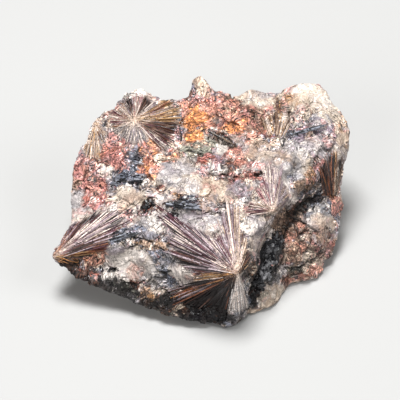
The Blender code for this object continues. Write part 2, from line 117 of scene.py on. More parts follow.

# Fissures and pits between the crystals, sunk and darkened with painted shade: their run on the display plane
# and their width.
FISSURES = [
    ([(24.2, -5.1), (26.4, -6.2), (29.5, -8.2)], 0.5),
    ([(23.7, -4.7), (24.2, -2.0), (25.9, -0.7), (28.2, 0.9), (31.0, 1.8)], 0.6),
    ([(23.7, -4.7), (21.4, -7.4), (20.2, -10.0), (20.6, -13.1), (19.7, -16.7)], 0.6),
    ([(20.8, -16.7), (24.2, -17.3), (27.7, -15.3), (30.4, -12.6)], 0.5),
    ([(5.9, 6.4), (9.0, 5.4), (12.2, 5.6), (15.6, 6.8)], 0.35),
    ([(-16.4, -9.3), (-13.4, -10.2), (-10.8, -11.4), (-7.7, -13.3)], 0.35),
    ([(-29.4, -11.8), (-25.6, -11.1), (-22.4, -10.9)], 0.4),
    ([(-12.4, 10.0), (-10.6, 9.4), (-8.0, 9.9)], 0.3),
    ([(-3.4, 12.2), (0.4, 11.4), (3.4, 11.9)], 0.3),
    ([(-19.5, -20.0), (-16.4, -21.2), (-13.6, -20.4)], 0.4),
    ([(-4.6, 14.8), (-5.0, 18.4), (-3.6, 21.8)], 0.3),
    ([(22.4, 22.2), (22.0, 18.6), (24.8, 15.6)], 0.3),
    ([(1.2, -3.0), (4.6, -3.6), (8.4, -3.4)], 0.3),
    ([(-22.7, -17.8), (-21.1, -17.4)], 1.0),
    ([(-6.8, -4.0), (-6.6, -3.1)], 0.7),
    ([(-10.5, -17.6), (-7.3, -18.0)], 0.35),
]
FISSURE_DEPTH = 0.45
FISSURE_CORE = 0.1
FISSURE_STRAY = (0.9, 51, 0.9)

# Large smooth crystals: middle on the display plane, half width and half height.
SMOOTH_CRYSTALS = [
    (2.2, -5.5, 6.2, 2.8), (-6.2, 5.0, 5.0, 3.2), (5.0, 2.5, 4.6, 3.0), (25.7, 25.7, 5.4, 3.0),
    (-16.5, -17.0, 5.2, 4.2), (-18.0, 1.2, 4.6, 1.8), (23.7, 8.7, 4.0, 3.6), (14.6, -5.0, 2.0, 2.6),
    (30.5, -3.8, 2.8, 2.8),
]
SMOOTH_CALM = 0.8
SMOOTH_STRAY = (1.6, 37, 1.8)
SMOOTH_EDGE = (1.1, 0.8)

# Colour of each mineral, and how rough it is.
MINERALS = {
    "white": ((0.81, 0.775, 0.745), 0.34),
    "cream": ((0.765, 0.70, 0.63), 0.45),
    "beige": ((0.60, 0.50, 0.43), 0.5),
    "grey": ((0.53, 0.51, 0.52), 0.22),
    "blue": ((0.36, 0.38, 0.43), 0.3),
    "lilac": ((0.50, 0.44, 0.48), 0.3),
    "pink": ((0.67, 0.455, 0.435), 0.5),
    "red": ((0.505, 0.285, 0.24), 0.4),
    "salmon": ((0.68, 0.476, 0.412), 0.5),
    "orange": ((0.77, 0.50, 0.30), 0.7),
    "brown": ((0.27, 0.17, 0.12), 0.45),
    "gold": ((0.56, 0.41, 0.27), 0.45),
    "green": ((0.46, 0.455, 0.41), 0.45),
    "black": ((0.05, 0.05, 0.065), 0.2),
    "dark": ((0.12, 0.10, 0.095), 0.4),
}

# What the rock holds where no patch lies: shares of its grains.
COUNTRY = {
    "white": 0.24, "cream": 0.12, "grey": 0.22, "lilac": 0.1, "beige": 0.1, "pink": 0.07, "blue": 0.07,
    "brown": 0.05, "dark": 0.06, "black": 0.02,
}

# Patches of minerals: middle on the display plane, half length, half width, turn in degrees, and shares,
# which also say how strongly the patch holds against what lies around it; some dark and black shares paint
# shade.
PATCHES = [
    # back plateau, from left to right
    (-16.0, 26.6, 4.5, 1.2, 0, {"white": 3, "cream": 1}),
    (-22.0, 21.5, 2.5, 1.2, 30, {"cream": 2, "pink": 1}),
    (0.2, 29.6, 3.0, 2.6, 90, {"beige": 30, "cream": 22, "gold": 4}),
    (4.0, 25.6, 4.0, 2.4, -10, {"salmon": 7, "pink": 3, "beige": 2, "brown": 2, "red": 1}),
    (-2.0, 24.2, 3.2, 1.8, 10, {"salmon": 6, "pink": 2, "beige": 3}),
    (2.0, 21.5, 6.0, 3.0, 0, {"salmon": 10, "pink": 2, "orange": 1, "red": 2, "beige": 3, "brown": 2}),
    (-1.6, 20.0, 3.0, 2.3, 20, {"orange": 36, "gold": 5, "red": 2, "brown": 4}),
    (-1.0, 16.8, 2.9, 2.5, 80, {"orange": 36, "gold": 3, "red": 3, "brown": 4}),
    (7.5, 21.0, 5.0, 3.6, -20, {"salmon": 10, "pink": 2, "brown": 3, "red": 2, "beige": 3}),
    (8.7, 18.6, 2.4, 1.7, 0, {"orange": 12, "salmon": 2}),
    (12.5, 17.5, 3.5, 3.0, 0, {"salmon": 4, "pink": 1, "beige": 2, "brown": 2}),
    (14.5, 20.5, 3.5, 3.0, 0, {"pink": 2, "beige": 3, "brown": 2, "salmon": 2}),
    (15.8, 18.3, 1.4, 1.1, 0, {"black": 3, "brown": 2}),
    (16.5, 16.3, 2.4, 1.0, 0, {"red": 3, "brown": 1}),
    (12.5, 26.0, 4.0, 1.8, 0, {"cream": 5, "grey": 3, "white": 2, "beige": 3}),
    (15.5, 24.5, 3.0, 2.0, 0, {"cream": 3, "grey": 1, "beige": 2}),
    (20.5, 24.0, 2.6, 2.6, 0, {"cream": 2, "gold": 1, "brown": 1}),
    (28.5, 26.6, 4.6, 3.2, -10, {"white": 14, "cream": 11}),
    (24.2, 25.0, 2.6, 1.3, 10, {"beige": 8, "gold": 5, "cream": 6}),
    (33.5, 22.5, 3.0, 3.6, -40, {"white": 12, "cream": 8}),
    (26.0, 21.6, 3.0, 1.6, 0, {"cream": 3, "white": 2, "gold": 1}),
    (30.0, 21.0, 2.6, 1.4, -20, {"grey": 2, "blue": 1, "white": 1}),
    (27.0, 19.8, 2.2, 0.8, -25, {"black": 2, "blue": 2}),
    (31.0, 18.5, 3.0, 1.8, 10, {"lilac": 3, "blue": 2, "grey": 2, "white": 2}),
    (26.0, 16.2, 5.0, 1.0, 18, {"lilac": 6, "blue": 3, "black": 1}),
    (35.6, 17.5, 1.8, 4.0, 0, {"cream": 3, "gold": 1, "beige": 1}),
    # the band below it
    (-26.5, 13.0, 2.2, 4.0, 0, {"cream": 2, "gold": 2, "beige": 1}),
    (-22.0, 12.8, 3.4, 4.0, 0, {"pink": 8, "red": 3, "salmon": 5, "brown": 1}),
    (-20.0, 9.5, 2.6, 2.2, 0, {"pink": 8, "red": 3, "salmon": 2}),
    (-28.0, 8.5, 3.0, 2.6, 0, {"pink": 6, "salmon": 2, "beige": 1, "grey": 1}),
    (-16.3, 10.8, 2.6, 2.4, 0, {"blue": 6, "grey": 3, "black": 3}),
    (-15.1, 10.4, 2.1, 1.2, 20, {"black": 10, "blue": 3}),
    (-17.6, 7.6, 2.8, 1.3, 30, {"blue": 5, "grey": 2, "black": 2}),
    (-18.5, 5.2, 5.0, 1.3, 8, {"blue": 6, "black": 5, "grey": 4}),
    (-12.6, 12.8, 2.6, 2.4, 0, {"brown": 3, "salmon": 3, "gold": 1, "orange": 1, "red": 1}),
    (-12.6, 7.8, 2.8, 2.4, 30, {"salmon": 6, "red": 2, "pink": 2, "orange": 2}),
    (-7.2, 11.0, 2.4, 1.8, 0, {"salmon": 4, "orange": 1, "red": 2, "brown": 1}),
    (-10.0, 12.0, 1.0, 1.0, 0, {"white": 4}),
    (-0.6, 12.6, 4.4, 1.5, 15, {"green": 26, "beige": 3, "dark": 1}),
    (-2.0, 14.2, 2.5, 0.8, 10, {"brown": 1, "beige": 2, "orange": 1}),
    (4.6, 13.6, 1.9, 1.6, 0, {"white": 6}),
    (1.6, 10.2, 2.2, 1.6, 0, {"red": 4, "pink": 2}),
    (4.0, 9.2, 1.8, 1.6, 0, {"lilac": 5, "pink": 2}),
    (3.6, 7.2, 1.6, 0.8, 0, {"white": 6}),
    (9.2, 11.2, 2.6, 2.6, 0, {"salmon": 4, "red": 2, "pink": 1}),
    (7.2, 8.0, 1.6, 1.6, 0, {"brown": 3, "red": 1}),
    (14.0, 12.4, 3.6, 2.4, 0, {"grey": 4, "cream": 4, "beige": 5}),
    (19.5, 11.0, 3.4, 2.4, 0, {"cream": 3, "beige": 6, "lilac": 2, "grey": 4}),
    (25.0, 12.6, 4.4, 2.2, 0, {"white": 3, "grey": 7, "cream": 1, "lilac": 2}),
    (29.5, 13.5, 2.6, 2.6, 0, {"grey": 3, "white": 2, "lilac": 1}),
    (24.2, 10.6, 1.0, 0.8, 0, {"black": 3, "lilac": 1}),
    # the middle band
    (-30.0, 5.5, 2.6, 3.4, 10, {"pink": 6, "red": 2, "beige": 2}),
    (-26.0, 3.0, 2.8, 2.6, 0, {"pink": 4, "red": 2, "salmon": 3, "grey": 1}),
    (-25.5, -0.5, 4.0, 1.6, 10, {"pink": 4, "red": 3}),
    (-30.8, 0.4, 1.6, 2.8, 0, {"white": 2, "grey": 2}),
    (-24.5, 5.5, 2.0, 1.2, 0, {"grey": 2, "pink": 1}),
    (-21.5, 1.0, 2.4, 1.6, 0, {"grey": 2, "beige": 1, "dark": 1}),
    (-17.5, 0.4, 4.2, 1.8, -5, {"cream": 4, "beige": 2, "white": 1}),
    (-14.0, 2.6, 3.0, 1.0, 0, {"grey": 2, "blue": 2, "beige": 1}),
    (-6.5, 6.2, 4.6, 2.6, 10, {"grey": 12, "white": 3, "lilac": 4}),
    (-2.6, 3.8, 2.6, 2.4, 0, {"cream": 3, "white": 1, "grey": 4}),
    (-9.6, 2.6, 1.4, 1.2, 0, {"red": 3, "pink": 2}),
    (-9.5, 0.2, 2.0, 1.6, 0, {"white": 3, "pink": 1, "grey": 1}),
    (-5.2, 0.8, 1.4, 0.9, 0, {"gold": 2, "brown": 3}),
    (-2.4, -0.2, 3.0, 1.5, -20, {"black": 9, "blue": 6}),
    (-4.6, -1.6, 3.4, 0.8, -5, {"black": 9, "brown": 4}),
    (5.6, 15.4, 4.6, 1.0, -25, {"brown": 5, "black": 3, "green": 1}),
    (2.2, 3.2, 2.6, 2.4, 0, {"beige": 3, "cream": 3}),
    (6.2, 2.0, 2.6, 2.4, 0, {"beige": 4, "cream": 2, "brown": 1}),
    (1.5, -1.0, 2.6, 2.2, 0, {"grey": 2, "beige": 3}),
    (10.5, 5.4, 5.0, 1.0, 12, {"red": 4, "brown": 2, "pink": 1}),
    (9.8, 2.6, 2.4, 1.8, 0, {"lilac": 3, "grey": 3}),
    (12.0, -0.8, 2.4, 1.4, 0, {"grey": 3, "white": 2, "brown": 1}),
    (13.0, 8.6, 2.6, 1.2, 0, {"white": 2, "pink": 2, "salmon": 1}),
    (22.6, 6.4, 2.6, 2.6, 0, {"blue": 2, "grey": 4, "white": 2, "lilac": 1}),
    (25.2, 3.4, 2.4, 1.4, 0, {"beige": 3, "brown": 1, "gold": 1, "dark": 1}),
    (28.0, 5.5, 2.4, 2.2, 0, {"grey": 1, "gold": 2, "salmon": 2, "brown": 1}),
    (29.8, 9.0, 1.8, 2.4, 0, {"pink": 2, "beige": 2, "brown": 2}),
    (33.0, 2.4, 1.8, 1.6, 0, {"orange": 3, "salmon": 3, "brown": 2}),
    # the apron that falls to the front ridge
    (-12.6, -1.9, 1.4, 2.1, 15, {"black": 20, "dark": 8, "brown": 4}),
    (-11.4, -3.4, 3.0, 0.8, 15, {"red": 3, "brown": 2}),
    (-13.5, -6.0, 4.0, 1.6, 0, {"white": 3, "grey": 3, "lilac": 1}),
    (-1.4, -5.0, 4.6, 2.6, 0, {"white": 3, "grey": 8, "lilac": 4}),
    (-6.4, -3.2, 1.4, 1.2, 0, {"white": 3, "grey": 1}),
    (-6.6, -3.6, 0.8, 1.0, 10, {"black": 30, "dark": 6}),
    (5.0, -6.0, 3.0, 2.0, 0, {"grey": 3, "white": 2, "lilac": 1}),
    (14.4, -5.4, 2.0, 2.4, 0, {"white": 3, "grey": 5, "lilac": 2, "cream": 1}),
    (-18.8, -8.9, 5.6, 0.9, 19, {"blue": 12, "black": 9, "lilac": 2}),
    (-15.5, -8.6, 4.0, 1.4, 0, {"grey": 4, "blue": 2, "lilac": 2}),
    (-12.4, -11.0, 4.4, 1.0, -12, {"gold": 2, "beige": 3, "brown": 1}),
    (-9.6, -14.8, 2.6, 3.0, 0, {"blue": 3, "grey": 4}),
    (-0.8, -17.2, 3.0, 1.2, 10, {"salmon": 3, "beige": 2}),
    (-5.2, -18.0, 2.4, 1.9, 0, {"white": 8, "salmon": 3, "grey": 2}),
    # the front face
    (-32.4, -15.4, 3.4, 1.4, -35, {"gold": 4, "brown": 8, "orange": 1, "dark": 3}),
    # painted shade: this patch's dark and black paint shade at the foot of the front face, beside the rock's
    # own brown and red
    (-28.8, -19.4, 6.6, 2.0, -33, {"dark": 20, "brown": 16, "black": 10, "red": 3}),
    (-26.6, -14.2, 3.2, 2.2, -12, {"salmon": 16, "cream": 13, "orange": 4, "beige": 3}),
    (-27.4, -17.2, 2.2, 1.4, -20, {"red": 3, "brown": 4, "beige": 1}),
    (-21.0, -13.2, 3.0, 1.8, -10, {"white": 4, "grey": 3, "lilac": 2}),
    (-17.0, -15.2, 4.8, 2.6, 0, {"white": 15, "cream": 3, "lilac": 3, "grey": 1}),
    (-15.8, -18.2, 2.4, 2.2, 0, {"cream": 2, "salmon": 4, "pink": 3, "white": 7, "lilac": 2}),
    (-21.9, -17.6, 1.5, 0.9, 8, {"black": 40, "dark": 10}),
    (-25.4, -17.4, 1.0, 0.7, 0, {"black": 12, "blue": 4}),
    (-20.5, -19.0, 3.6, 1.6, -25, {"white": 7, "grey": 2, "lilac": 2, "dark": 1}),
    (-11.4, -19.0, 2.2, 2.6, 0, {"white": 3, "grey": 2, "blue": 1}),
    (-16.0, -21.2, 1.1, 0.9, 0, {"brown": 16, "dark": 4, "red": 4}),
    (-12.8, -20.6, 0.7, 1.2, 0, {"brown": 10, "dark": 6}),
    # painted shade: this patch's dark and black paint shade on the low front face, beside the rock's own
    # green and grey
    (-20.0, -22.8, 7.5, 2.1, -24, {"green": 3, "dark": 12, "grey": 2, "black": 12}),
    (-12.6, -24.0, 2.4, 1.6, -20, {"gold": 3, "beige": 2, "brown": 1}),
    (-9.0, -20.0, 2.4, 2.4, 0, {"blue": 2, "grey": 2, "dark": 2}),
    # painted shade: the dark and black in these two patches paint shade on the low front face, beside the
    # rock's own brown and green
    (-8.0, -26.4, 6.0, 2.0, -14, {"dark": 10, "brown": 4, "green": 1, "black": 10}),
    (0.0, -26.8, 8.0, 4.0, -12, {"dark": 16, "brown": 4, "black": 40}),
    (5.6, -26.4, 1.8, 3.0, 0, {"brown": 6, "dark": 8, "black": 4}),
    (9.0, -30.0, 3.0, 1.4, 0, {"grey": 3, "cream": 2, "dark": 1}),
    # the groove and the lumps right of it
    # painted shadow: the black and dark in these three patches paint shadow in the groove, beside the rock's
    # own brown, grey and beige
    (27.0, 0.0, 3.6, 1.4, 35, {"black": 11, "brown": 8, "grey": 2}),
    (23.6, -3.4, 4.6, 1.7, 50, {"black": 9, "brown": 9, "dark": 5, "beige": 3}),
    (20.2, -5.4, 3.6, 2.3, 55, {"brown": 12, "dark": 8, "beige": 6}),
    (17.8, -12.0, 4.2, 2.6, 70, {"black": 20, "blue": 2}),
    (15.8, -17.2, 4.2, 2.2, 66, {"black": 20, "dark": 5}),
    (13.6, -22.4, 4.0, 1.3, 74, {"black": 12, "dark": 4, "brown": 2}),
    (13.0, -17.4, 2.4, 1.4, 75, {"brown": 8, "dark": 7, "cream": 3, "gold": 2}),
    (18.2, -20.0, 2.4, 1.6, 50, {"green": 1, "grey": 2, "dark": 3}),
    # painted shade: this patch's black paints shade between two lumps, beside the rock's own brown
    (26.6, -7.2, 3.4, 0.8, -30, {"black": 10, "brown": 6}),
    (29.6, -2.6, 3.2, 2.2, 0, {"grey": 3, "white": 3, "blue": 2}),
    (31.0, -5.4, 2.6, 1.6, 0, {"cream": 3, "beige": 2, "grey": 1}),
    (33.8, -1.4, 1.2, 2.2, 0, {"pink": 2, "salmon": 2, "beige": 2, "brown": 1}),
    (24.4, -9.6, 4.4, 3.6, 0, {"salmon": 6, "beige": 6, "brown": 7, "dark": 1}),
    (29.4, -10.0, 3.4, 3.4, 0, {"grey": 3, "beige": 5, "cream": 1, "pink": 2, "brown": 4}),
    (33.0, -11.2, 1.2, 2.4, 10, {"red": 3, "brown": 3, "beige": 1}),
    (22.6, -14.4, 2.8, 1.8, 0, {"beige": 3, "brown": 2, "pink": 1}),
    (29.2, -15.4, 3.0, 2.4, 0, {"cream": 2, "pink": 2, "beige": 2}),
    (23.6, -17.4, 2.6, 1.2, 20, {"green": 2, "dark": 2, "beige": 1}),
    (27.6, -18.4, 3.4, 1.4, 0, {"salmon": 4, "pink": 1, "beige": 3, "cream": 1}),
    (21.8, -20.4, 2.2, 1.6, 40, {"salmon": 3, "red": 1, "beige": 2, "brown": 1}),
    (17.6, -24.2, 3.4, 2.4, 30, {"cream": 6, "green": 2, "white": 2, "beige": 6}),
    (14.0, -27.6, 2.0, 1.0, 0, {"beige": 3, "cream": 1}),
]

# How strongly a patch holds, where its edge fades, how far it strays, and how much of what lies round it is
# left in it. Each mineral gathers in blotches, inside the patches too.
PATCH_PULL = 0.5
PATCH_EDGE = (1.25, 0.75)
PATCH_STRAYS = ((2.2, 32), (0.9, 33))
PATCH_STRAY_REACH = 1.8
FINE_STRAY_PART = 0.6
COUNTRY_LEFT = 0.45
BLOTCH_SIZE = 2.4
BLOTCH_PULL = 3.2
BLOTCH_SEED = 71

# Wide clouds of a mineral, on every side: which of three noises, where the cloud starts and where it is full,
# and its share.
CLOUD_SIZE = 9.0
CLOUD_SEED = 31
CLOUDS = [
    ("pink", 0, 0.55, 0.7, 0.6), ("blue", 1, 0.6, 0.75, 0.5), ("black", 1, 0.62, 0.75, 0.4),
    ("cream", 2, 0.5, 0.7, 0.6),
]
HIDDEN_WHITE = 0.2

# Where the minerals are pale the grains are quieter: less relief, less contrast and fewer cracks.
PALE_MINERALS = ("white", "cream", "beige", "grey", "lilac")
PALE_EDGE = (0.45, 0.85)
SMOOTH_PALE_EDGE = (0.3, 0.7)
QUIET_NOISE = (4.5, 35)
QUIET_NOISE_EDGE = (0.35, 0.6)
QUIET_LEVELS = (0.3, 0.5)
QUIET_CRACKS = 0.7
QUIET_FINE = 0.5
QUIET_PURITY = 0.6

# How pure each grain's mineral is, where it is picked between the grain's middle and the point itself, and
# the shares of grains that are smooth, picked broadly and picked finely.
GRAIN_PURITY = 0.72
COARSE_PARTS = (0.7, 0.3)
BROAD_PARTS = (0.5, 0.5)
SMOOTH_SHARE = 0.35
BROAD_SHARE = 0.4
FINE_SHARE = 0.35

# How far one grain is lighter than the next, and how dark the painted shade in cracks and fissures is.
TONE_PLAY = 0.5
QUIET_TONE_PLAY = 0.3
BROAD_TONE_PLAY = (0.9, 0.2)
CRACK_SHADE = 0.5
FISSURE_SHADE = 0.75

# The rock under a spray: streaks of so many degrees and millimetres, their lightness, and the bed's edge.
BED_STREAK = (1.3, 6)
BED_STREAK_SEED = 42
BED_LIGHT = (0.35, 0.5)
BED_EDGE = (1.0, 0.8)
BED_STRAY = (1.2, 41, 0.8)

# Sprays: the hub on the display plane, how light the blades are, how far from the hub they start, and their
# width. Each sector goes from angle to angle in degrees, with its reach at both, its blades and their tones.
SPRAYS = {
    "front_corner_spray": {
        "hub": (9.2, -18.4),
        "light": 0.95,
        "clear": 0.0,
        "seed": 3,
        "width": (0.08, 0.22),
        "sectors": [
            (30, 68, 4, 7, 30, {"brown": 5, "tan": 1, "dark": 4, "gold": 1}),
            (68, 84, 7, 12, 30, {"tan": 4, "pale": 2, "brown": 2, "lilac": 1}),
            (84, 99, 15, 19, 80, {"lilac": 5, "tan": 5, "pale": 2, "maroon": 2}),
            (99, 113, 17, 13, 44, {"lilac": 5, "pale": 2, "maroon": 3, "tan": 2}),
            (113, 130, 11, 14, 50, {"lilac": 3, "pale": 3, "maroon": 4}),
            (130, 138, 15, 21, 44, {"lilac": 2, "maroon": 4, "pale": 1, "dark": 2}),
            (138, 146, 27, 25, 70, {"dark": 4, "maroon": 5, "lilac": 2, "pale": 2}),
            (146, 160, 22, 19, 90, {"lilac": 4, "maroon": 5, "dark": 3, "pale": 2}),
            (160, 178, 20, 13, 70, {"lilac": 3, "maroon": 3, "brown": 2, "dark": 3, "grey": 1}),
            (178, 192, 9, 12.5, 46, {"amber": 5, "gold": 4, "brown": 3, "pale": 2, "dark": 2}),
            (192, 206, 17, 18, 60, {"amber": 2, "rust": 3, "dark": 7, "lilac": 2, "pale": 1}),
            (206, 232, 17, 11, 66, {"dark": 18, "rust": 1, "brown": 1}),
            (232, 256, 11, 10, 56, {"dark": 16, "rust": 1}),
            # painted light: the down-turned fan's blades mostly take the extra-light pale tone, which paints
            # light on them
            (256, 292, 11, 9, 80, {"frost": 14, "pale": 5, "grey": 4, "lilac": 1}),
        ],
    },
    "left_tip_spray": {
        "hub": (-36.2, -13.9),
        "light": 0.95,
        "clear": 0.0,
        "seed": 4,
        "width": (0.1, 0.28),
        "sectors": [
            (-30, -8, 4, 6, 26, {"amber": 3, "brown": 3, "dark": 2}),
            (-8, 8, 6, 11, 40, {"brown": 3, "gold": 2, "dark": 2}),
            (8, 14, 14, 15, 16, {"rust": 4, "maroon": 2}),
            (14, 24, 14, 19, 54, {"brown": 4, "lilac": 3, "maroon": 2, "dark": 3}),
            (24, 38, 21, 20, 84, {"pale": 4, "lilac": 4, "maroon": 3, "dark": 1}),
            (38, 50, 19, 13, 40, {"brown": 3, "maroon": 3, "pale": 2, "dark": 2}),
            (50, 62, 13, 9, 20, {"rust": 3, "maroon": 3, "pale": 1, "lilac": 2}),
        ],
    },
    "upper_left_star": {
        "hub": (-16.4, 19.9),
        "light": 0.7,
        "clear": 0.0,
        "seed": 5,
        "width": (0.07, 0.19),
        "sectors": [
            (-50, -44, 12, 12, 18, {"rust": 3, "maroon": 2, "pale": 2}),
            (-44, -35, 12, 11, 24, {"pale": 4, "tan": 2, "maroon": 2}),
            (-35, -12, 11, 12, 60, {"dark": 6, "brown": 5, "maroon": 4, "rust": 2, "tan": 1}),
            (-12, -3, 12, 12, 26, {"brown": 4, "dark": 2, "tan": 2}),
            (-3, 14, 12, 12, 60, {"gold": 4, "tan": 4, "pale": 2, "brown": 2, "rust": 1}),
            (14, 34, 12, 11, 60, {"tan": 5, "lilac": 1, "gold": 2, "pink": 1, "brown": 4, "rust": 1}),
            (34, 48, 7.5, 7, 20, {"pale": 4, "lilac": 2}),
            (48, 66, 7, 6.5, 30, {"dark": 4, "brown": 4}),
            (66, 96, 6.5, 6.2, 40, {"pale": 4, "pink": 3, "grey": 2, "rust": 1}),
            (96, 122, 6, 6, 36, {"dark": 3, "brown": 3, "lilac": 2, "grey": 2}),
            (122, 150, 6, 5.6, 40, {"pale": 4, "rust": 2, "tan": 2, "lilac": 2}),
            (150, 190, 6.6, 7.4, 50, {"maroon": 2, "tan": 3, "pale": 3, "pink": 3, "rust": 2}),
            (190, 235, 7, 6, 60, {"grey": 4, "pale": 4, "tan": 1}),
            (235, 310, 6, 6.4, 110, {"grey": 6, "pale": 3, "lilac": 2, "dark": 1}),
        ],
    },
    "left_edge_spray": {
        "hub": (-26.2, 19.2),
        "light": 0.85,
        "clear": 0.0,
        "seed": 6,
        "width": (0.08, 0.2),
        "sectors": [
            (254, 282, 9.5, 8.5, 44, {"pale": 3, "tan": 5, "gold": 2, "brown": 2}),
            (282, 318, 6.5, 5, 44, {"grey": 3, "tan": 2, "brown": 2, "pale": 1}),
        ],
    },
    "right_spray": {
        "hub": (18.2, -2.8),
        "light": 0.82,
        "clear": 0.0,
        "seed": 7,
        "width": (0.1, 0.24),
        "sectors": [
            (38, 76, 5, 8, 40, {"lilac": 3, "tan": 2, "grey": 2, "maroon": 1}),
            (76, 104, 12, 12, 60, {"lilac": 4, "pale": 4, "pink": 1, "maroon": 1}),
            (104, 130, 9, 7, 40, {"pink": 3, "pale": 2, "maroon": 2}),
            (130, 160, 5, 5, 20, {"pale": 2, "tan": 2}),
            (160, 190, 7, 7.5, 26, {"brown": 2, "maroon": 3, "pink": 2, "pale": 2}),
        ],
    },
    "right_edge_spray": {
        "hub": (33.0, -4.5),
        "light": 0.8,
        "clear": 6.0,
        "seed": 8,
        "width": (0.1, 0.24),
        "sectors": [
            (80, 88, 16, 17, 36, {"tan": 3, "pale": 1, "gold": 1, "brown": 6, "dark": 6}),
            (88, 104, 18, 14, 90, {"dark": 14, "brown": 5, "rust": 4, "amber": 1}),
        ],
    },
    "back_rim_spray": {
        "hub": (18.9, 13.0),
        "light": 0.9,
        "clear": 3.4,
        "seed": 9,
        "width": (0.05, 0.13),
        "sectors": [
            (62, 82, 8.5, 10, 14, {"tan": 4, "pale": 3, "gold": 2, "brown": 2}),
            (84, 92, 13.5, 13.5, 10, {"brown": 5, "dark": 2, "tan": 2, "gold": 1}),
            (92, 116, 10, 8.5, 14, {"tan": 4, "pale": 3, "gold": 2, "brown": 3}),
        ],
    },
}
TONES = {
    "lilac": (0.31, 0.24, 0.26),
    "pale": (0.62, 0.51, 0.45),
    "tan": (0.37, 0.27, 0.20),
    "gold": (0.38, 0.22, 0.10),
    "amber": (0.40, 0.18, 0.06),
    "rust": (0.20, 0.07, 0.035),
    "brown": (0.11, 0.055, 0.04),
    "maroon": (0.09, 0.035, 0.045),
    "dark": (0.02, 0.014, 0.014),
    "grey": (0.28, 0.245, 0.24),
    # painted light: a pale tone made lighter to paint light on the down-turned fan
    "frost": (0.76, 0.70, 0.67),
    "pink": (0.36, 0.18, 0.18),
}
# What a blade's tone turns to near the hub, where it isn't the pale one.
PALE_HUB = (0.66, 0.52, 0.42)
HUB_TONES = {
    "gold": (0.56, 0.37, 0.19), "amber": (0.54, 0.30, 0.12), "rust": (0.38, 0.18, 0.09),
    "brown": (0.34, 0.20, 0.12), "maroon": (0.46, 0.31, 0.25), "dark": (0.12, 0.07, 0.05),
}

# The blades' section, how many are made for each one counted above, and the range of their lift from the rock
# and their light. A range without a length is a share of the sector's reach.
BLADE_STATIONS = 10
BLADE_SIDES = 4
BLADE_FLATNESS = 0.55
BLADES_FOR_ONE = 2.2
BLADE_LIFT = (0.0, 0.34)
BLADE_LIGHT = (0.7, 1.35)
BLADE_REACH = (0.72, 1.06)
BLADE_START = (0.05, 0.65)
BLADE_LENGTH = (0.35, 0.9)
FROM_HUB_CHANCE = 0.5
SHORTEST_BLADE = 0.8
JOG = 0.3

# Some blades gather in bundles: one for so many degrees, how likely, and how many degrees they spread.
BUNDLE_ANGLE = 3.2
BUNDLE_CHANCE = 0.5
BUNDLE_SPREAD = 0.7

# Blades are cut back in steps where the rock ends, with a little to spare.
RIM_STEP = 0.25
RIM_SPARE = 0.12

# A blade along its way: how straight it is, how far it may run under the rock or over it, how its lift fades
# and its end sinks and narrows with a power of the way, how it widens from the hub, and how far the hub tone
# goes.
STRAIGHTNESS = 0.5
LINE_UNDER = 0.1
LINE_OVER = 1.1
LIFT_FADE = 4.0
END_SINK = (8.0, 0.15)
END_TAPER = (6.0, 0.75)
HUB_WIDTH = (0.16, 0.22)
HUB_TONE_START = 0.5
HUB_TONE_REACH = (0.34, 1.0)
SIGHT_METRES = 1.0

# Aegirine: both ends on the display plane, the spread, how many prisms, their radius, how far they lean, and
# the hue of their worn faces.
AEGIRINE = {
    "aegirine_blade_upper": ((2.2, 17.2), (9.4, 13.4), 0.12, 7, 0.26, 0.01, "brown"),
    "aegirine_blade_right": ((22.0, 15.8), (31.2, 19.0), 0.4, 12, 0.3, 0.05, "blue"),
    "aegirine_ledge_left": ((-22.2, 3.6), (-14.2, 4.9), 1.0, 26, 0.32, 0.2, "blue"),
    "aegirine_ledge_middle": ((-8.2, -1.3), (0.2, -2.2), 1.0, 26, 0.36, 0.14, "blue"),
    "aegirine_clump": ((-12.0, -3.4), (-13.6, -0.2), 1.1, 18, 0.36, 0.3, "black"),
    "aegirine_band": ((-13.4, -7.7), (-22.6, -10.3), 0.55, 26, 0.32, 0.06, "blue"),
    "aegirine_seam": ((19.2, -8.4), (13.9, -21.6), 2.2, 130, 0.55, 0.8, "black"),
}
WORN_FACES = {"black": (0.13, 0.128, 0.135), "brown": (0.2, 0.14, 0.1), "blue": (0.2, 0.21, 0.25)}
FRESH_AEGIRINE = (0.007, 0.007, 0.009)
FRESH_TO_WORN = (0.4, 0.96)

# A prism in its bundle: its length as a share of the bundle's, shorter where prisms lean, how far it may hang
# over the bundle's ends, how far it lies aside, above and leaning out, and its girth. Rings are heights on a
# unit prism, each with its share of the girth.
PRISM_SEED = 40
PRISM_LENGTH = (0.35, 0.8)
SHORTER_WHERE_LEANING = 4
PRISM_OVERHANG = 0.05
PRISM_ASIDE = 0.5
PRISM_LIFT = (-0.6, 0.12)
PRISM_LEAN_OUT = 0.7
PRISM_GIRTH = (0.6, 1.25)
PRISM_RINGS = ((-0.5, 0.25), (-0.4, 1), (0.36, 1), (0.5, 0.2))
PRISM_CORNERS = 6
PRISM_FLATNESS = 0.75

# Finishes. Sizes and spacings are in millimetres; a pair that works on a value is its slope and its base.
SPECK_FINENESS = 2.3
SPECK_DETAIL = 3.0
SPECK_RELIEF = 0.6
# Painted shade in tiny pits and painted glints: the darkest and the lightest cells, and how strong the glints
# are beside the pits.
PIT_CELLS = (0.08, 0.14)
GLINT_CELLS = (0.9, 0.94)
GLINTS_FOR_PITS = 0.5
FLECK_NOISE = {"Detail": 4.0, "Roughness": 0.7}
FLECK_LEVEL = (-0.4, 0.7)
FLECK_EDGE = 0.03
HAIRLINE_NOISE = {"Detail": 4.0, "Roughness": 0.6}
HAIRLINE_PATCH_OFFSET = (0.31, 0.17, 0.23)
HAIRLINE_PATCHES = (0.48, 0.56)

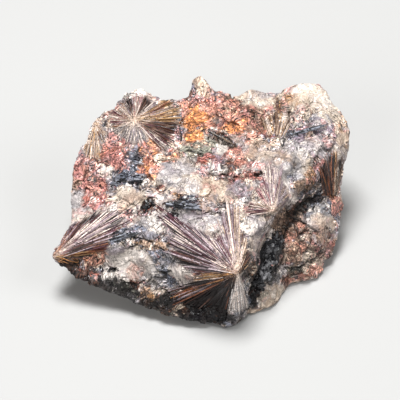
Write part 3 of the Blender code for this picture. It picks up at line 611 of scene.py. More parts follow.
ROCK_FLECKS = {"Size": 0.38, "Share": 0.38}
ROCK_FLECK_PULL = (0.6, 0.4)
ROCK_GRAIN_SIZE = 0.27
ROCK_CONTRAST = (1.65, 0.4)
ROCK_PITS = 0.85
ROCK_CRACKS = {"Spacing": 3.2, "Width": 0.02}
ROCK_VEINS = {"Spacing": 1.7, "Width": 0.03}
# painted shade in the hollows and along the hairline cracks
HOLLOW_SHADE = (0.35, 0.2)
CRACK_LINE_SHADE = -0.75
VEIN_LIGHT = (0.7, 0.97)
ROCK_DARKEST = 0.03
ROCK_SPECULAR = 0.3
ROCK_ROUGHNESS = (-0.2, 0.12)
ROCK_BUMP = {"Strength": 0.7, "Distance": 0.00007}

STREAK_LANES = {"share": 9.0, "own": 61.0}
STREAK_DETAIL = 4.0
STREAK_LIGHT = (1.6, 0.2)
HUB_TONE_SHARE = 0.8
BLADE_GRAIN = {"Size": 0.3, "Contrast": 0.4}
BLADE_SPECULAR = 0.35
BLADE_ROUGHNESS = (0.3, 0.2)
BLADE_BUMP = {"Strength": 0.5, "Distance": 0.00008}

AEGIRINE_GRAIN = {"Size": 0.5, "Contrast": 0.9}
AEGIRINE_ROUGHNESS = (0.2, 0.2)
AEGIRINE_BUMP = {"Strength": 0.5, "Distance": 0.0001}

# The studio, in metres: the floor, the room's light, and each lamp's place, size and power.
FLOOR_TONE = (0.36, 0.36, 0.355)
FLOOR_ROUGHNESS = 0.8
FLOOR_HALF = 3.0
ROOM_TONE = (1.0, 0.97, 0.93)
ROOM_LIGHT = 0.1
NEAREST_SEEN = 0.01
LAMPS = {
    "key": ((-0.08, 0.1, 0.82), 0.3, 13.2),
    "fill": ((0.6, -0.2, 0.5), 0.5, 3.0),
    "front": ((-0.45, -0.6, 0.5), 0.4, 3.4),
}
LAMP_AIM = Vector((0, 0, 0.015))


def smooth_step(low, high, value):
    """0 below low, 1 above high, and an even curve between."""
    share = np.clip((value - low) / (high - low), 0, 1)
    return share * share * (3 - 2 * share)


def hashed(cells, seed):
    """Three even random numbers for each whole-numbered cell, mixed with large odd multipliers."""
    mixed = (
        cells[:, 0].astype(np.uint64) * np.uint64(73856093)
        ^ cells[:, 1].astype(np.uint64) * np.uint64(19349663)
        ^ cells[:, 2].astype(np.uint64) * np.uint64(83492791)
        ^ np.uint64(seed * 2654435761 % 2**32)
    ) & np.uint64(0xFFFFFFFF)
    found = []
    for turn in (2246822519, 3266489917, 668265263):
        mixed = (mixed ^ (mixed >> np.uint64(15))) * np.uint64(turn) & np.uint64(0xFFFFFFFF)
        mixed = mixed ^ (mixed >> np.uint64(13))
        found.append(mixed.astype(float) / 2**32)
    return np.stack(found, 1)


def wobble(points, size, seed):
    """Smooth noise from 0 to 1 over points, as three numbers each."""
    scaled = points / size
    base = np.floor(scaled).astype(np.int64)
    part = scaled - base
    part = part * part * (3 - 2 * part)
    total = np.zeros((len(points), 3))
    for corner in itertools.product((0, 1), repeat=3):
        weight = np.prod(np.where(corner, part, 1 - part), 1)
        total += weight[:, None] * hashed(base + corner, seed)
    return total


def strayed(places, points, size, seed, reach):
    """Places moved by smooth noise over their points."""
    return places + (wobble(points, size, seed)[:, : places.shape[1]] - 0.5) * reach


def crystal_cells(points, size, seed):
    """The nearest grain's middle, its random numbers, and how far each point is from the grain's border."""
    scaled = points / size
    base = np.floor(scaled).astype(np.int64)
    nearest = np.full(len(points), 1e9)
    second = np.full(len(points), 1e9)
    middle = np.zeros((len(points), 3))
    home = np.zeros((len(points), 3), np.int64)
    for offset in itertools.product((-1, 0, 1), repeat=3):
        cell = base + offset
        centre = cell + hashed(cell, seed)
        gap = ((scaled - centre) ** 2).sum(1)
        closer = gap < nearest
        second = np.where(closer, nearest, np.minimum(second, gap))
        nearest = np.where(closer, gap, nearest)
        middle[closer] = centre[closer]
        home[closer] = cell[closer]
    border = (np.sqrt(second) - np.sqrt(nearest)) * size / 2
    return middle * size, hashed(home, seed + GRAIN_CHANCE_SEED), border


def on_display(points):
    """Where points in millimetres show on the display plane, as (across, up)."""
    ray = points - np.array(EYE)
    reach = DISPLAY_DISTANCE / (ray @ -np.array(TOWARD))
    return np.stack([ray[:, 0] * reach, ray @ np.array(UPWARD) * reach], 1)


def sight(across, up):
    """The direction in which the display view sees a place on the display plane."""
    place = DISPLAY_CENTRE + Vector((across, 0, 0)) + UPWARD * up
    return (place - EYE).normalized()


def linear(colour):
    """A display colour made linear."""
    return tuple(value / 12.92 if value <= 0.04045 else ((value + 0.055) / 1.055) ** 2.4 for value in colour)


def add_object(name, data):
    """A new object at the origin."""
    made = bpy.data.objects.new(name, data)
    bpy.context.scene.collection.objects.link(made)
    return made


def hand_over(piece, node):
    """Ties a piece to the frame's root and hides the node that it stands in for."""
    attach(piece, "root")
    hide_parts(node)


class Tree:
    """A node tree, built one node at a time."""

    def __init__(self, tree):
        self.tree = tree

    def plug(self, socket, value):
        """Links a socket to another, or sets its value."""
        if isinstance(value, bpy.types.NodeSocket):
            self.tree.links.new(value, socket)
        else:
            socket.default_value = value

    def add(self, kind, *values, **settings):
        """A node of a kind; values fill its inputs in order, or by name where they come as a dict."""
        node = self.tree.nodes.new(kind)
        named = settings.pop("inputs", {})
        for key, value in settings.items():
            setattr(node, key, value)
        for socket, value in zip(node.inputs, values):
            self.plug(socket, value)
        for key, value in named.items():
            self.plug(node.inputs[key], value)
        return node

    def maths(self, operation, *values):
        """A number that a Math node works out."""
        return self.add("ShaderNodeMath", *values, operation=operation).outputs[0]

    def vector(self, operation, *values, **named):
        """A vector that a Vector Math node works out."""
        return self.add("ShaderNodeVectorMath", *values, operation=operation, inputs=named).outputs["Vector"]

    def line(self, value, slope, base):
        """value * slope + base."""
        return self.maths("MULTIPLY_ADD", value, slope, base)

    def mix(self, share, first, second):
        """first where share is 0, second where it is 1."""
        return self.line(self.maths("SUBTRACT", second, first), share, first)

    def mix_colours(self, share, first, second):
        """The same for colours."""
        node = self.add("ShaderNodeMix", data_type="RGBA", inputs={"Factor": share})
        self.plug(node.inputs[6], first)
        self.plug(node.inputs[7], second)
        return node.outputs[2]

    def ranged(self, value, *limits):
        """A value mapped from one range to another and kept inside it: low, high, new low and new high."""
        return self.add("ShaderNodeMapRange", value, *limits).outputs[0]

    def group(self, tree, **inputs):
        """The outputs of a shader node group."""
        return self.add("ShaderNodeGroup", node_tree=tree, inputs=inputs).outputs

    def noise(self, vector, scale, **inputs):
        """Noise from 0 to 1."""
        inputs = {"Vector": vector, "Scale": scale, **inputs}
        return self.add("ShaderNodeTexNoise", inputs=inputs).outputs["Fac"]

    def stored(self, name, output="Fac"):
        """An attribute of the piece's mesh, in a material."""
        return self.add("ShaderNodeAttribute", attribute_name=name).outputs[output]

    def named(self, name, kind="FLOAT"):
        """An attribute of the geometry, in a Geometry Nodes tree."""
        return self.add("GeometryNodeInputNamedAttribute", data_type=kind, inputs={"Name": name}).outputs[0]


def new_tree(name, sockets):
    """A Geometry Nodes tree that ends in a geometry, with named inputs: (name, kind, default)."""
    tree = bpy.data.node_groups.new(name, "GeometryNodeTree")
    tree.interface.new_socket("Geometry", in_out="INPUT", socket_type="NodeSocketGeometry")
    tree.interface.new_socket("Geometry", in_out="OUTPUT", socket_type="NodeSocketGeometry")
    for label, kind, default in sockets:
        made = tree.interface.new_socket(label, in_out="INPUT", socket_type="NodeSocket" + kind)
        if default is not None:
            made.default_value = default
    build = Tree(tree)
    given = build.add("NodeGroupInput").outputs
    return build, given


def end_tree(build, geometry, material):
    """Realize Instances and Set Material, then the output."""
    real = build.add("GeometryNodeRealizeInstances", geometry).outputs[0]
    flat = build.add("GeometryNodeSetShadeSmooth", real, inputs={"Shade Smooth": False}).outputs[0]
    done = build.add("GeometryNodeSetMaterial", flat, inputs={"Material": material}).outputs[0]
    build.add("NodeGroupOutput", done)


def grown(name, base, build, values):
    """Runs a Geometry Nodes tree on a mesh, and returns the result as a plain mesh."""
    seedling = add_object(name + "_seed", base)
    grower = seedling.modifiers.new("grow", "NODES")
    grower.node_group = build.tree
    for socket in build.tree.interface.items_tree:
        if socket.in_out == "INPUT" and socket.name in values:
            grower[socket.identifier] = values[socket.name]
    bpy.context.view_layer.update()
    data = bpy.data.meshes.new_from_object(seedling.evaluated_get(bpy.context.evaluated_depsgraph_get()))
    bpy.data.objects.remove(seedling)
    data.name = name
    return data


def attribute(data, name, kind, values):
    """Stores one value for each vertex."""
    made = data.attributes.new(name, kind, "POINT")
    field = {"FLOAT": "value", "FLOAT_COLOR": "color", "FLOAT_VECTOR": "vector"}[kind]
    made.data.foreach_set(field, np.asarray(values, np.float32).ravel())


# ---------------------------------------------------------------- rock


def joined_solids():
    """The matrix and its crystals as one mesh, the crystals swollen a little so that their beds close."""
    whole = bmesh.new()
    for name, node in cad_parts.items():
        solid = bmesh.new()
        solid.from_mesh(node.data)
        bmesh.ops.remove_doubles(solid, verts=solid.verts[:], dist=WELD)
        solid.normal_update()
        if name != "matrix":
            for vertex in solid.verts:
                vertex.co += vertex.normal * CRYSTAL_SWELL * MM
        part = bpy.data.meshes.new("part")
        solid.to_mesh(part)
        solid.free()
        whole.from_mesh(part)
        bpy.data.meshes.remove(part)
    data = bpy.data.meshes.new("rock_skin")
    whole.to_mesh(data)
    whole.free()
    return data


def keep_main_body(mesh):
    """Deletes the crumbs that lie loose beside the largest body."""
    waiting = dict.fromkeys(mesh.verts)
    bodies = []
    while waiting:
        body = [waiting.popitem()[0]]
        for vertex in body:
            for edge in vertex.link_edges:
                other = edge.other_vert(vertex)
                if other in waiting:
                    del waiting[other]
                    body.append(other)
        bodies.append(body)
    bodies.sort(key=len)
    bmesh.ops.delete(mesh, geom=[vertex for body in bodies[:-1] for vertex in body], context="VERTS")


def rock_skin():
    """One even closed skin over the joined solids, finer where the display view looks."""
    block = add_object("rock_block", joined_solids())
    remesh = block.modifiers.new("skin", "REMESH")
    remesh.mode = "VOXEL"
    remesh.voxel_size = SKIN_VOXEL * MM
    skin = bpy.data.meshes.new_from_object(block.evaluated_get(bpy.context.evaluated_depsgraph_get()))
    bpy.data.objects.remove(block)
    mesh = bmesh.new()
    mesh.from_mesh(skin)
    keep_main_body(mesh)
    for _ in range(SKIN_SMOOTHING):
        bmesh.ops.smooth_vert(
            mesh, verts=mesh.verts[:], factor=0.5, use_axis_x=True, use_axis_y=True, use_axis_z=True
        )
    mesh.normal_update()
    eye = EYE * MM
    shown = [
        face for face in mesh.faces
        if face.normal.dot((eye - face.calc_center_median()).normalized()) > FINER_FACING
    ]
    edges = list({edge for face in shown for edge in face.edges})
    edges.sort(key=lambda edge: edge.index)
    bmesh.ops.subdivide_edges(mesh, edges=edges, cuts=1, use_grid_fill=True)
    bmesh.ops.triangulate(mesh, faces=mesh.faces[:])
    mesh.to_mesh(skin)
    mesh.free()
    return skin


def mineral_shares(points, shown):
    """How much of each mineral lies at each point: one column for each."""
    names = list(MINERALS)
    drift = wobble(points, CLOUD_SIZE, CLOUD_SEED)
    shares = np.zeros((len(points), len(names)))
    for name, share in COUNTRY.items():
        shares[:, names.index(name)] = share
    for name, noise, thin, full, share in CLOUDS:
        shares[:, names.index(name)] += share * smooth_step(thin, full, drift[:, noise])
    shares[:, names.index("white")] += HIDDEN_WHITE * (1 - shown)
    broad, fine = (wobble(points, *noise)[:, :2] - 0.5 for noise in PATCH_STRAYS)
    places = on_display(points) + (broad + fine * FINE_STRAY_PART) * PATCH_STRAY_REACH
    for across, up, long_half, short_half, turn, mixture in PATCHES:
        offset = places - np.array((across, up))
        cosine = math.cos(math.radians(turn))
        sine = math.sin(math.radians(turn))
        along = (offset[:, 0] * cosine + offset[:, 1] * sine) / long_half
        beside = (offset[:, 1] * cosine - offset[:, 0] * sine) / short_half
        inside = smooth_step(*PATCH_EDGE, np.hypot(along, beside)) * shown
        shares *= (1 - (1 - COUNTRY_LEFT) * inside)[:, None]
        for name, share in mixture.items():
            shares[:, names.index(name)] += PATCH_PULL * share * inside
    # Each mineral gathers in blotches of its own.
    for first in range(0, len(names), 3):
        gather = wobble(points, BLOTCH_SIZE, BLOTCH_SEED + first)
        columns = slice(first, min(first + 3, len(names)))
        shares[:, columns] *= np.exp(BLOTCH_PULL * (gather[:, : columns.stop - first] - 0.5))
    return shares / shares.sum(1)[:, None]


def picked_columns(shares, chance):
    """For each row of shares, the column that its chance falls on."""
    return (chance[:, None] > np.cumsum(shares, 1)).sum(1).clip(0, shares.shape[1] - 1)


def fissure_lines(points):
    """Where the fissures run, from 0 to 1."""
    places = strayed(on_display(points), points, *FISSURE_STRAY)
    lines = np.zeros(len(points))
    for run, width in FISSURES:
        for start, end in zip(run, run[1:]):
            way = np.subtract(end, start)
            offset = places - np.array(start)
            share = np.clip(offset @ way / (way @ way), 0, 1)
            gap = np.hypot(*(offset - share[:, None] * way).T)
            lines = np.maximum(lines, smooth_step(width, FISSURE_CORE * width, gap))
    return lines


def smooth_crystals(points):
    """Where the large smooth crystals lie, from 0 to 1."""
    places = strayed(on_display(points), points, *SMOOTH_STRAY)
    inside = np.zeros(len(points))
    for across, up, half_width, half_height in SMOOTH_CRYSTALS:
        reach = np.hypot((places[:, 0] - across) / half_width, (places[:, 1] - up) / half_height)
        inside = np.maximum(inside, smooth_step(*SMOOTH_EDGE, reach))
    return inside


def spray_beds(points):
    """Where the rock lies under a spray, from 0 to 1, and the streaked tone it has there."""
    places = strayed(on_display(points), points, *BED_STRAY)
    degrees, millimetres = BED_STREAK
    darkest, play = BED_LIGHT
    cover = np.zeros(len(points))
    tone = np.zeros((len(points), 3))
    for spray in SPRAYS.values():
        offset = places - np.array(spray["hub"])
        radius = np.hypot(*offset.T)
        first = spray["sectors"][0][0]
        turn = (np.degrees(np.arctan2(offset[:, 1], offset[:, 0])) - first) % 360 + first
        streak = np.column_stack(
            [np.floor(turn / degrees), np.floor(radius / millimetres), np.full(len(turn), spray["seed"])]
        )
        chance = hashed(streak.astype(np.int64), BED_STREAK_SEED)
        for low, high, low_reach, high_reach, _, tones in spray["sectors"]:
            share = (turn - low) / (high - low)
            full = low_reach + (high_reach - low_reach) * share
            within = (share >= 0) & (share < 1) & (radius > spray["clear"])
            inside = smooth_step(*BED_EDGE, radius / full) * within
            shades = np.array([TONES[name] for name in tones])
            weights = np.array(list(tones.values()), float)
            choice = picked_columns(np.tile(weights / weights.sum(), (len(turn), 1)), chance[:, 0])
            shade = shades[choice] * (darkest + play * chance[:, 1])[:, None]
            better = inside > cover
            tone[better] = shade[better]
            cover = np.maximum(cover, inside)
    return cover, tone


def vertex_field(data, field):
    """One of the fields of the mesh's vertices, three numbers each."""
    values = np.zeros(len(data.vertices) * 3)
    data.vertices.foreach_get(field, values)
    return values.reshape(-1, 3)


def grain_layers(points):
    """The relief of the tilted grains, the grains of each layer, and the points drawn out along them."""
    height = np.zeros(len(points))
    layers = []
    place = points
    for grain in GRAINS:
        middle, chance, border = crystal_cells(place, grain["size"], grain["seed"])
        lean = ((chance - 0.5) * 2 * (place - middle)).sum(1) * grain["tilt"]
        height += lean + (chance[:, 0] - 0.5) * grain["step"]
        layers.append((middle, chance, border))
        if len(layers) == 2:
            # Inside each grain, what is finer is drawn out along the grain's own direction.
            broad_chance = layers[0][1]
            grain_way = np.where(broad_chance[:, 1:2] < BROAD_LATHS, broad_chance, chance) - 0.5
            grain_way /= np.linalg.norm(grain_way, axis=1)[:, None] + 1e-9
            place = points + ((LATH_STRETCH - 1) * (points * grain_way).sum(1))[:, None] * grain_way
    return height, layers, place


def grain_cracks(layers):
    """Cracks along the borders of some grains, from 0 to 1."""
    crack = np.zeros(len(layers[0][0]))
    for (_, chance, border), share in zip(layers, CRACKED_SHARES):
        crack = np.maximum(crack, smooth_step(CRACK_WIDTH, 0, border) * (chance[:, 1] < share))
    return crack


def quiet_grains(points, shares, shown):
    """How quiet the grains are, from 0 to 1: where the minerals are pale, and most in the smooth crystals."""
    pale = shares[:, [list(MINERALS).index(name) for name in PALE_MINERALS]].sum(1)
    least, more = QUIET_LEVELS
    clouds = smooth_step(*QUIET_NOISE_EDGE, wobble(points, *QUIET_NOISE)[:, 0])
    quiet = smooth_step(*PALE_EDGE, pale) * (least + more * clouds)
    smooth = SMOOTH_CALM * smooth_crystals(points) * shown * smooth_step(*SMOOTH_PALE_EDGE, pale)
    return np.maximum(quiet, smooth)


def rim_pull(points):
    """How far points are drawn up at the back rim, and the share of the relief that is left there."""
    rise = np.zeros(len(points))
    left = np.ones(len(points))
    for place, reach, amount in RIM_POINTS:
        near = np.clip(1 - np.linalg.norm(points - np.array(place), axis=1) / reach, 0, 1)
        left *= 1 - smooth_step(0, RIM_CALM_EDGE, near) * RIM_CALM
        rise += near * amount
    return rise, left


def roughened_rock(data):
    """Breaks the skin into tilted grains with cracks, and colours each grain as its mineral, with painted
    shade in its cracks, fissures and hollows.
    """
    points = vertex_field(data, "co") / MM
    normals = vertex_field(data, "normal")
    rays = np.array(EYE) - points
    rays /= np.linalg.norm(rays, axis=1)[:, None]
    facing = (normals * rays).sum(1)
    shown = smooth_step(*SHOWN_FACING, facing)

    warped = strayed(points, points, *GRAIN_STRAY)
    height, layers, lath = grain_layers(warped)
    for seed, (size, amount) in enumerate(ROLLS):
        height += (wobble(points, size, ROLL_SEED + seed)[:, 0] - 0.5) * amount
    middle, chance, _ = crystal_cells(strayed(points, points, *BACK_FACET_STRAY), **BACK_FACETS)
    facets = ((chance - 0.5) * 2 * (points - middle)).sum(1) * BACK_FACET_TILT
    height += facets * smooth_step(*HIDDEN_FACING, facing)
    crack = grain_cracks(layers)
    height -= crack * CRACK_DEPTH
    bed, bed_tone = spray_beds(points)
    bed = bed * shown
    height *= 1 - BED_CALM * bed
    fissure = fissure_lines(points) * shown * (1 - bed)
    fine_shares = mineral_shares(warped, shown)
    quiet = quiet_grains(points, fine_shares, shown)
    height *= 1 - QUIET_CALM * quiet
    crack *= 1 - QUIET_CRACKS * quiet
    rise, relief_left = rim_pull(points)
    height *= relief_left
    height -= fissure * FISSURE_DEPTH
    foot = smooth_step(*FOOT, points[:, 2])
    moved = points + normals * ((height + SKIN_SWELL) * foot)[:, None] + np.array(UPWARD) * rise[:, None]
    moved[:, 2] = np.where(points[:, 2] < FLAT_BASE, points[:, 2], np.maximum(moved[:, 2], 0))
    data.vertices.foreach_set("co", (moved * MM).ravel())

    def grain_pick(middle, parts, chance):
        """A mineral for each grain, picked between the grain's middle and the point itself."""
        return picked_columns(mineral_shares(middle * parts[0] + warped * parts[1], shown), chance)

    (broad_middle, broad_chance, _), (middle, chance, _), (_, fine_chance, _) = layers
    coarse_pick = grain_pick(middle, COARSE_PARTS, chance[:, 2])
    broad_pick = grain_pick(broad_middle, BROAD_PARTS, broad_chance[:, 2])
    fine_pick = picked_columns(fine_shares, fine_chance[:, 2])
    fleck_pick = picked_columns(fine_shares, fine_chance[:, 0])
    pick = np.where(chance[:, 0] < BROAD_SHARE, broad_pick, coarse_pick)
    pick = np.where(fine_chance[:, 1] < FINE_SHARE * (1 - QUIET_FINE * quiet), fine_pick, pick)

    darkest, broad_play = BROAD_TONE_PLAY
    play = 1 + (TONE_PLAY - QUIET_TONE_PLAY * quiet) * (fine_chance[:, 1] - 0.5)
    broad_shade = darkest + broad_play * broad_chance[:, 1]
    # painted shade: the tone is darker in the grain cracks and in the fissures
    play *= broad_shade * (1 - CRACK_SHADE * crack) * (1 - FISSURE_SHADE * fissure)
    palette = np.array([linear(colour) for colour, _ in MINERALS.values()])
    blend = fine_shares @ palette
    purity = GRAIN_PURITY * (1 - QUIET_PURITY * quiet)
    ones = np.ones(len(points))
    for name, choice in (("tone", pick), ("fleck", fleck_pick)):
        tone = (blend + (palette[choice] - blend) * purity[:, None]) * play[:, None]
        tone += (bed_tone * play[:, None] - tone) * bed[:, None]
        attribute(data, name, "FLOAT_COLOR", np.column_stack([np.clip(tone, 0, 1), ones]))
    attribute(data, "rough", "FLOAT", np.array([rough for _, rough in MINERALS.values()])[pick])
    attribute(data, "quiet", "FLOAT", quiet)
    attribute(data, "lath", "FLOAT_VECTOR", lath * MM)
    # painted shade: how dark the material paints each hollow, the deeper the darker
    attribute(data, "painted_hollow_shade", "FLOAT", np.clip(-height / HOLLOW_DEPTH, 0, 1))

    # Some grains are smooth and others are broken flat.
    corner = np.zeros(len(data.polygons), np.int32)
    data.polygons.foreach_get("loop_start", corner)
    first = np.zeros(len(data.loops), np.int32)
    data.loops.foreach_get("vertex_index", first)
    data.polygons.foreach_set("use_smooth", chance[first[corner], 1] < SMOOTH_SHARE)
    return data


# ---------------------------------------------------------------- materials


def new_shader_group(name, inputs, outputs):
    """A shader node group with a Vector input, named number inputs with their defaults, and named outputs."""
    tree = bpy.data.node_groups.new(name, "ShaderNodeTree")
    tree.interface.new_socket("Vector", in_out="INPUT", socket_type="NodeSocketVector")
    for label, default in inputs.items():
        made = tree.interface.new_socket(label, in_out="INPUT", socket_type="NodeSocketFloat")
        made.default_value = default
    for label in outputs:
        tree.interface.new_socket(label, in_out="OUTPUT", socket_type="NodeSocketFloat")
    build = Tree(tree)
    return build, build.add("NodeGroupInput").outputs


def fine_grain_group():
    """Fine crystalline mottling with painted glints and painted shade in tiny pits: a brightness factor and a
    height.
    """
    build, given = new_shader_group(
        "fine_grain", {"Size": 0.5, "Contrast": 0.3, "Pits": 0.6}, ("Brightness", "Height")
    )
    scale = build.maths("DIVIDE", MM_IN_METRE, given["Size"])
    cells = build.add("ShaderNodeTexVoronoi", inputs={"Vector": given["Vector"], "Scale": scale})
    shade = build.add("ShaderNodeSeparateColor", cells.outputs["Color"]).outputs[0]
    speck = build.noise(given["Vector"], build.maths("MULTIPLY", scale, SPECK_FINENESS), Detail=SPECK_DETAIL)
    centred = build.maths("SUBTRACT", build.maths("ADD", shade, speck), 1.0)
    bright = build.line(centred, given["Contrast"], 1.0)
    # painted shade in the darkest cells as pits, and painted glints in the lightest cells
    painted_pit_shade = build.ranged(shade, *PIT_CELLS, given["Pits"], 0.0)
    painted_glints = build.ranged(shade, *GLINT_CELLS, 0.0, build.maths("MULTIPLY", given["Pits"], GLINTS_FOR_PITS))
    bright = build.maths("MULTIPLY", bright, build.maths("ADD", build.maths("SUBTRACT", painted_glints, painted_pit_shade), 1.0))
    build.add("NodeGroupOutput", bright, build.line(speck, SPECK_RELIEF, shade))
    return build.tree


def mineral_flecks_group():
    """Small soft-edged spots: a mask."""
    build, given = new_shader_group("mineral_flecks", {"Size": 0.5, "Share": 0.5}, ("Mask",))
    noise = build.noise(given["Vector"], build.maths("DIVIDE", MM_IN_METRE, given["Size"]), **FLECK_NOISE)
    level = build.line(given["Share"], *FLECK_LEVEL)
    low, high = (build.maths(operation, level, FLECK_EDGE) for operation in ("SUBTRACT", "ADD"))
    build.add("NodeGroupOutput", build.ranged(noise, low, high, 0.0, 1.0))
    return build.tree


def hairline_group():
    """Thin winding cracks that come and go: a mask."""
    build, given = new_shader_group("hairline_cracks", {"Spacing": 3.0, "Width": 0.02}, ("Mask",))
    scale = build.maths("DIVIDE", MM_IN_METRE, given["Spacing"])
    winding = build.noise(given["Vector"], scale, **HAIRLINE_NOISE)
    gap = build.maths("ABSOLUTE", build.maths("SUBTRACT", winding, 0.5))
    crack = build.ranged(gap, 0.0, given["Width"], 1.0, 0.0)
    patches = build.noise(build.vector("ADD", given["Vector"], HAIRLINE_PATCH_OFFSET), scale, Detail=1.0)
    patches = build.ranged(patches, *HAIRLINE_PATCHES, 0.0, 1.0)
    build.add("NodeGroupOutput", build.maths("MULTIPLY", crack, patches))
    return build.tree


def new_material(name):
    """A material with its tree and its Principled BSDF."""
    made = bpy.data.materials.new(name)
    made.use_nodes = True
    return made, Tree(made.node_tree), made.node_tree.nodes["Principled BSDF"]


def finish_material(build, shader, colour, roughness, height, bump):
    """Feeds the shader a colour, a roughness, and a height as its bump."""
    build.plug(shader.inputs["Base Color"], colour)
    build.plug(shader.inputs["Roughness"], roughness)
    bumped = build.add("ShaderNodeBump", inputs={**bump, "Height": height})
    build.plug(shader.inputs["Normal"], bumped.outputs[0])


def rock_material(fine, flecks, hairlines):
    """Mixed broken minerals: the grain's own colour with fine mottling, painted glints and painted pit shade,
    and painted shade in its hollows and hairline cracks.
    """
    made, build, shader = new_material("broken_syenite")
    place = build.add("ShaderNodeTexCoord").outputs["Object"]
    lath = build.stored("lath", "Vector")
    loud = build.maths("SUBTRACT", 1.0, build.stored("quiet"))
    spots = build.group(flecks, Vector=lath, **ROCK_FLECKS)["Mask"]
    spots = build.maths("MULTIPLY", spots, build.line(loud, *ROCK_FLECK_PULL))
    tone = build.mix_colours(spots, build.stored("tone", "Color"), build.stored("fleck", "Color"))
    # the fine grain's brightness carries painted pit shade and painted glints
    grain = build.group(
        fine, Vector=lath, Size=ROCK_GRAIN_SIZE, Contrast=build.line(loud, *ROCK_CONTRAST),
        Pits=build.maths("MULTIPLY", loud, ROCK_PITS),
    )
    # painted shade: the tone is darker in the hollows and along the hairline cracks
    painted_hollow_shade = build.maths("MULTIPLY", build.stored("painted_hollow_shade"), build.line(loud, *HOLLOW_SHADE))
    crack = build.group(hairlines, Vector=place, **ROCK_CRACKS)["Mask"]
    vein = build.maths("MULTIPLY", build.group(hairlines, Vector=lath, **ROCK_VEINS)["Mask"], loud)
    shade = build.maths("MULTIPLY", build.line(painted_hollow_shade, -1.0, 1.0), build.line(crack, CRACK_LINE_SHADE, 1.0))
    shade = build.maths("MULTIPLY", shade, build.line(vein, *VEIN_LIGHT))
    bright = build.maths("MAXIMUM", build.maths("MULTIPLY", grain["Brightness"], shade), ROCK_DARKEST)
    rough = build.maths("ADD", build.stored("rough"), build.line(grain["Height"], *ROCK_ROUGHNESS))
    shader.inputs["Specular IOR Level"].default_value = ROCK_SPECULAR
    tone = build.vector("SCALE", tone, Scale=bright)
    finish_material(build, shader, tone, rough, grain["Height"], ROCK_BUMP)
    return made


def blade_material(fine):
    """Lamprophyllite blades: each blade's own tone, drawn out in fine streaks, with a silky gloss."""
    made, build, shader = new_material("lamprophyllite_blades")
    place = build.add("ShaderNodeTexCoord").outputs["Object"]
    lanes = [build.maths("MULTIPLY", build.stored(name), lane) for name, lane in STREAK_LANES.items()]
    streak = build.noise(build.add("ShaderNodeCombineXYZ", *lanes).outputs[0], 1.0, Detail=STREAK_DETAIL)
    grain = build.group(fine, Vector=place, **BLADE_GRAIN)
    bright = build.maths("MULTIPLY", build.line(streak, *STREAK_LIGHT), grain["Brightness"])
    near = build.maths("MULTIPLY", build.stored("near_hub"), HUB_TONE_SHARE)
    body = build.mix_colours(near, build.stored("tone", "Color"), build.stored("hub_tone", "Color"))
    shader.inputs["Specular IOR Level"].default_value = BLADE_SPECULAR
    body = build.vector("SCALE", body, Scale=bright)
    finish_material(build, shader, body, build.line(streak, *BLADE_ROUGHNESS), grain["Height"], BLADE_BUMP)
    return made


def aegirine_material(fine, hue):
    """Near-black glassy prisms, lighter where their faces are worn."""
    made, build, shader = new_material(hue + "_aegirine")
    place = build.add("ShaderNodeTexCoord").outputs["Object"]
    grain = build.group(fine, Vector=place, **AEGIRINE_GRAIN)
    ramp = build.add("ShaderNodeValToRGB", build.maths("MULTIPLY", build.stored("own"), grain["Brightness"]))
    tones = (FRESH_AEGIRINE, WORN_FACES[hue])
    for stop, position, colour in zip(ramp.color_ramp.elements, FRESH_TO_WORN, tones):
        stop.position = position
        stop.color = (*colour, 1)
    rough = build.line(grain["Height"], *AEGIRINE_ROUGHNESS)
    finish_material(build, shader, ramp.outputs[0], rough, grain["Height"], AEGIRINE_BUMP)
    return made


# ---------------------------------------------------------------- sprays


def picked(chooser, shares):
    """One name, picked by its share."""
    return chooser.choices(list(shares), weights=list(shares.values()))[0]


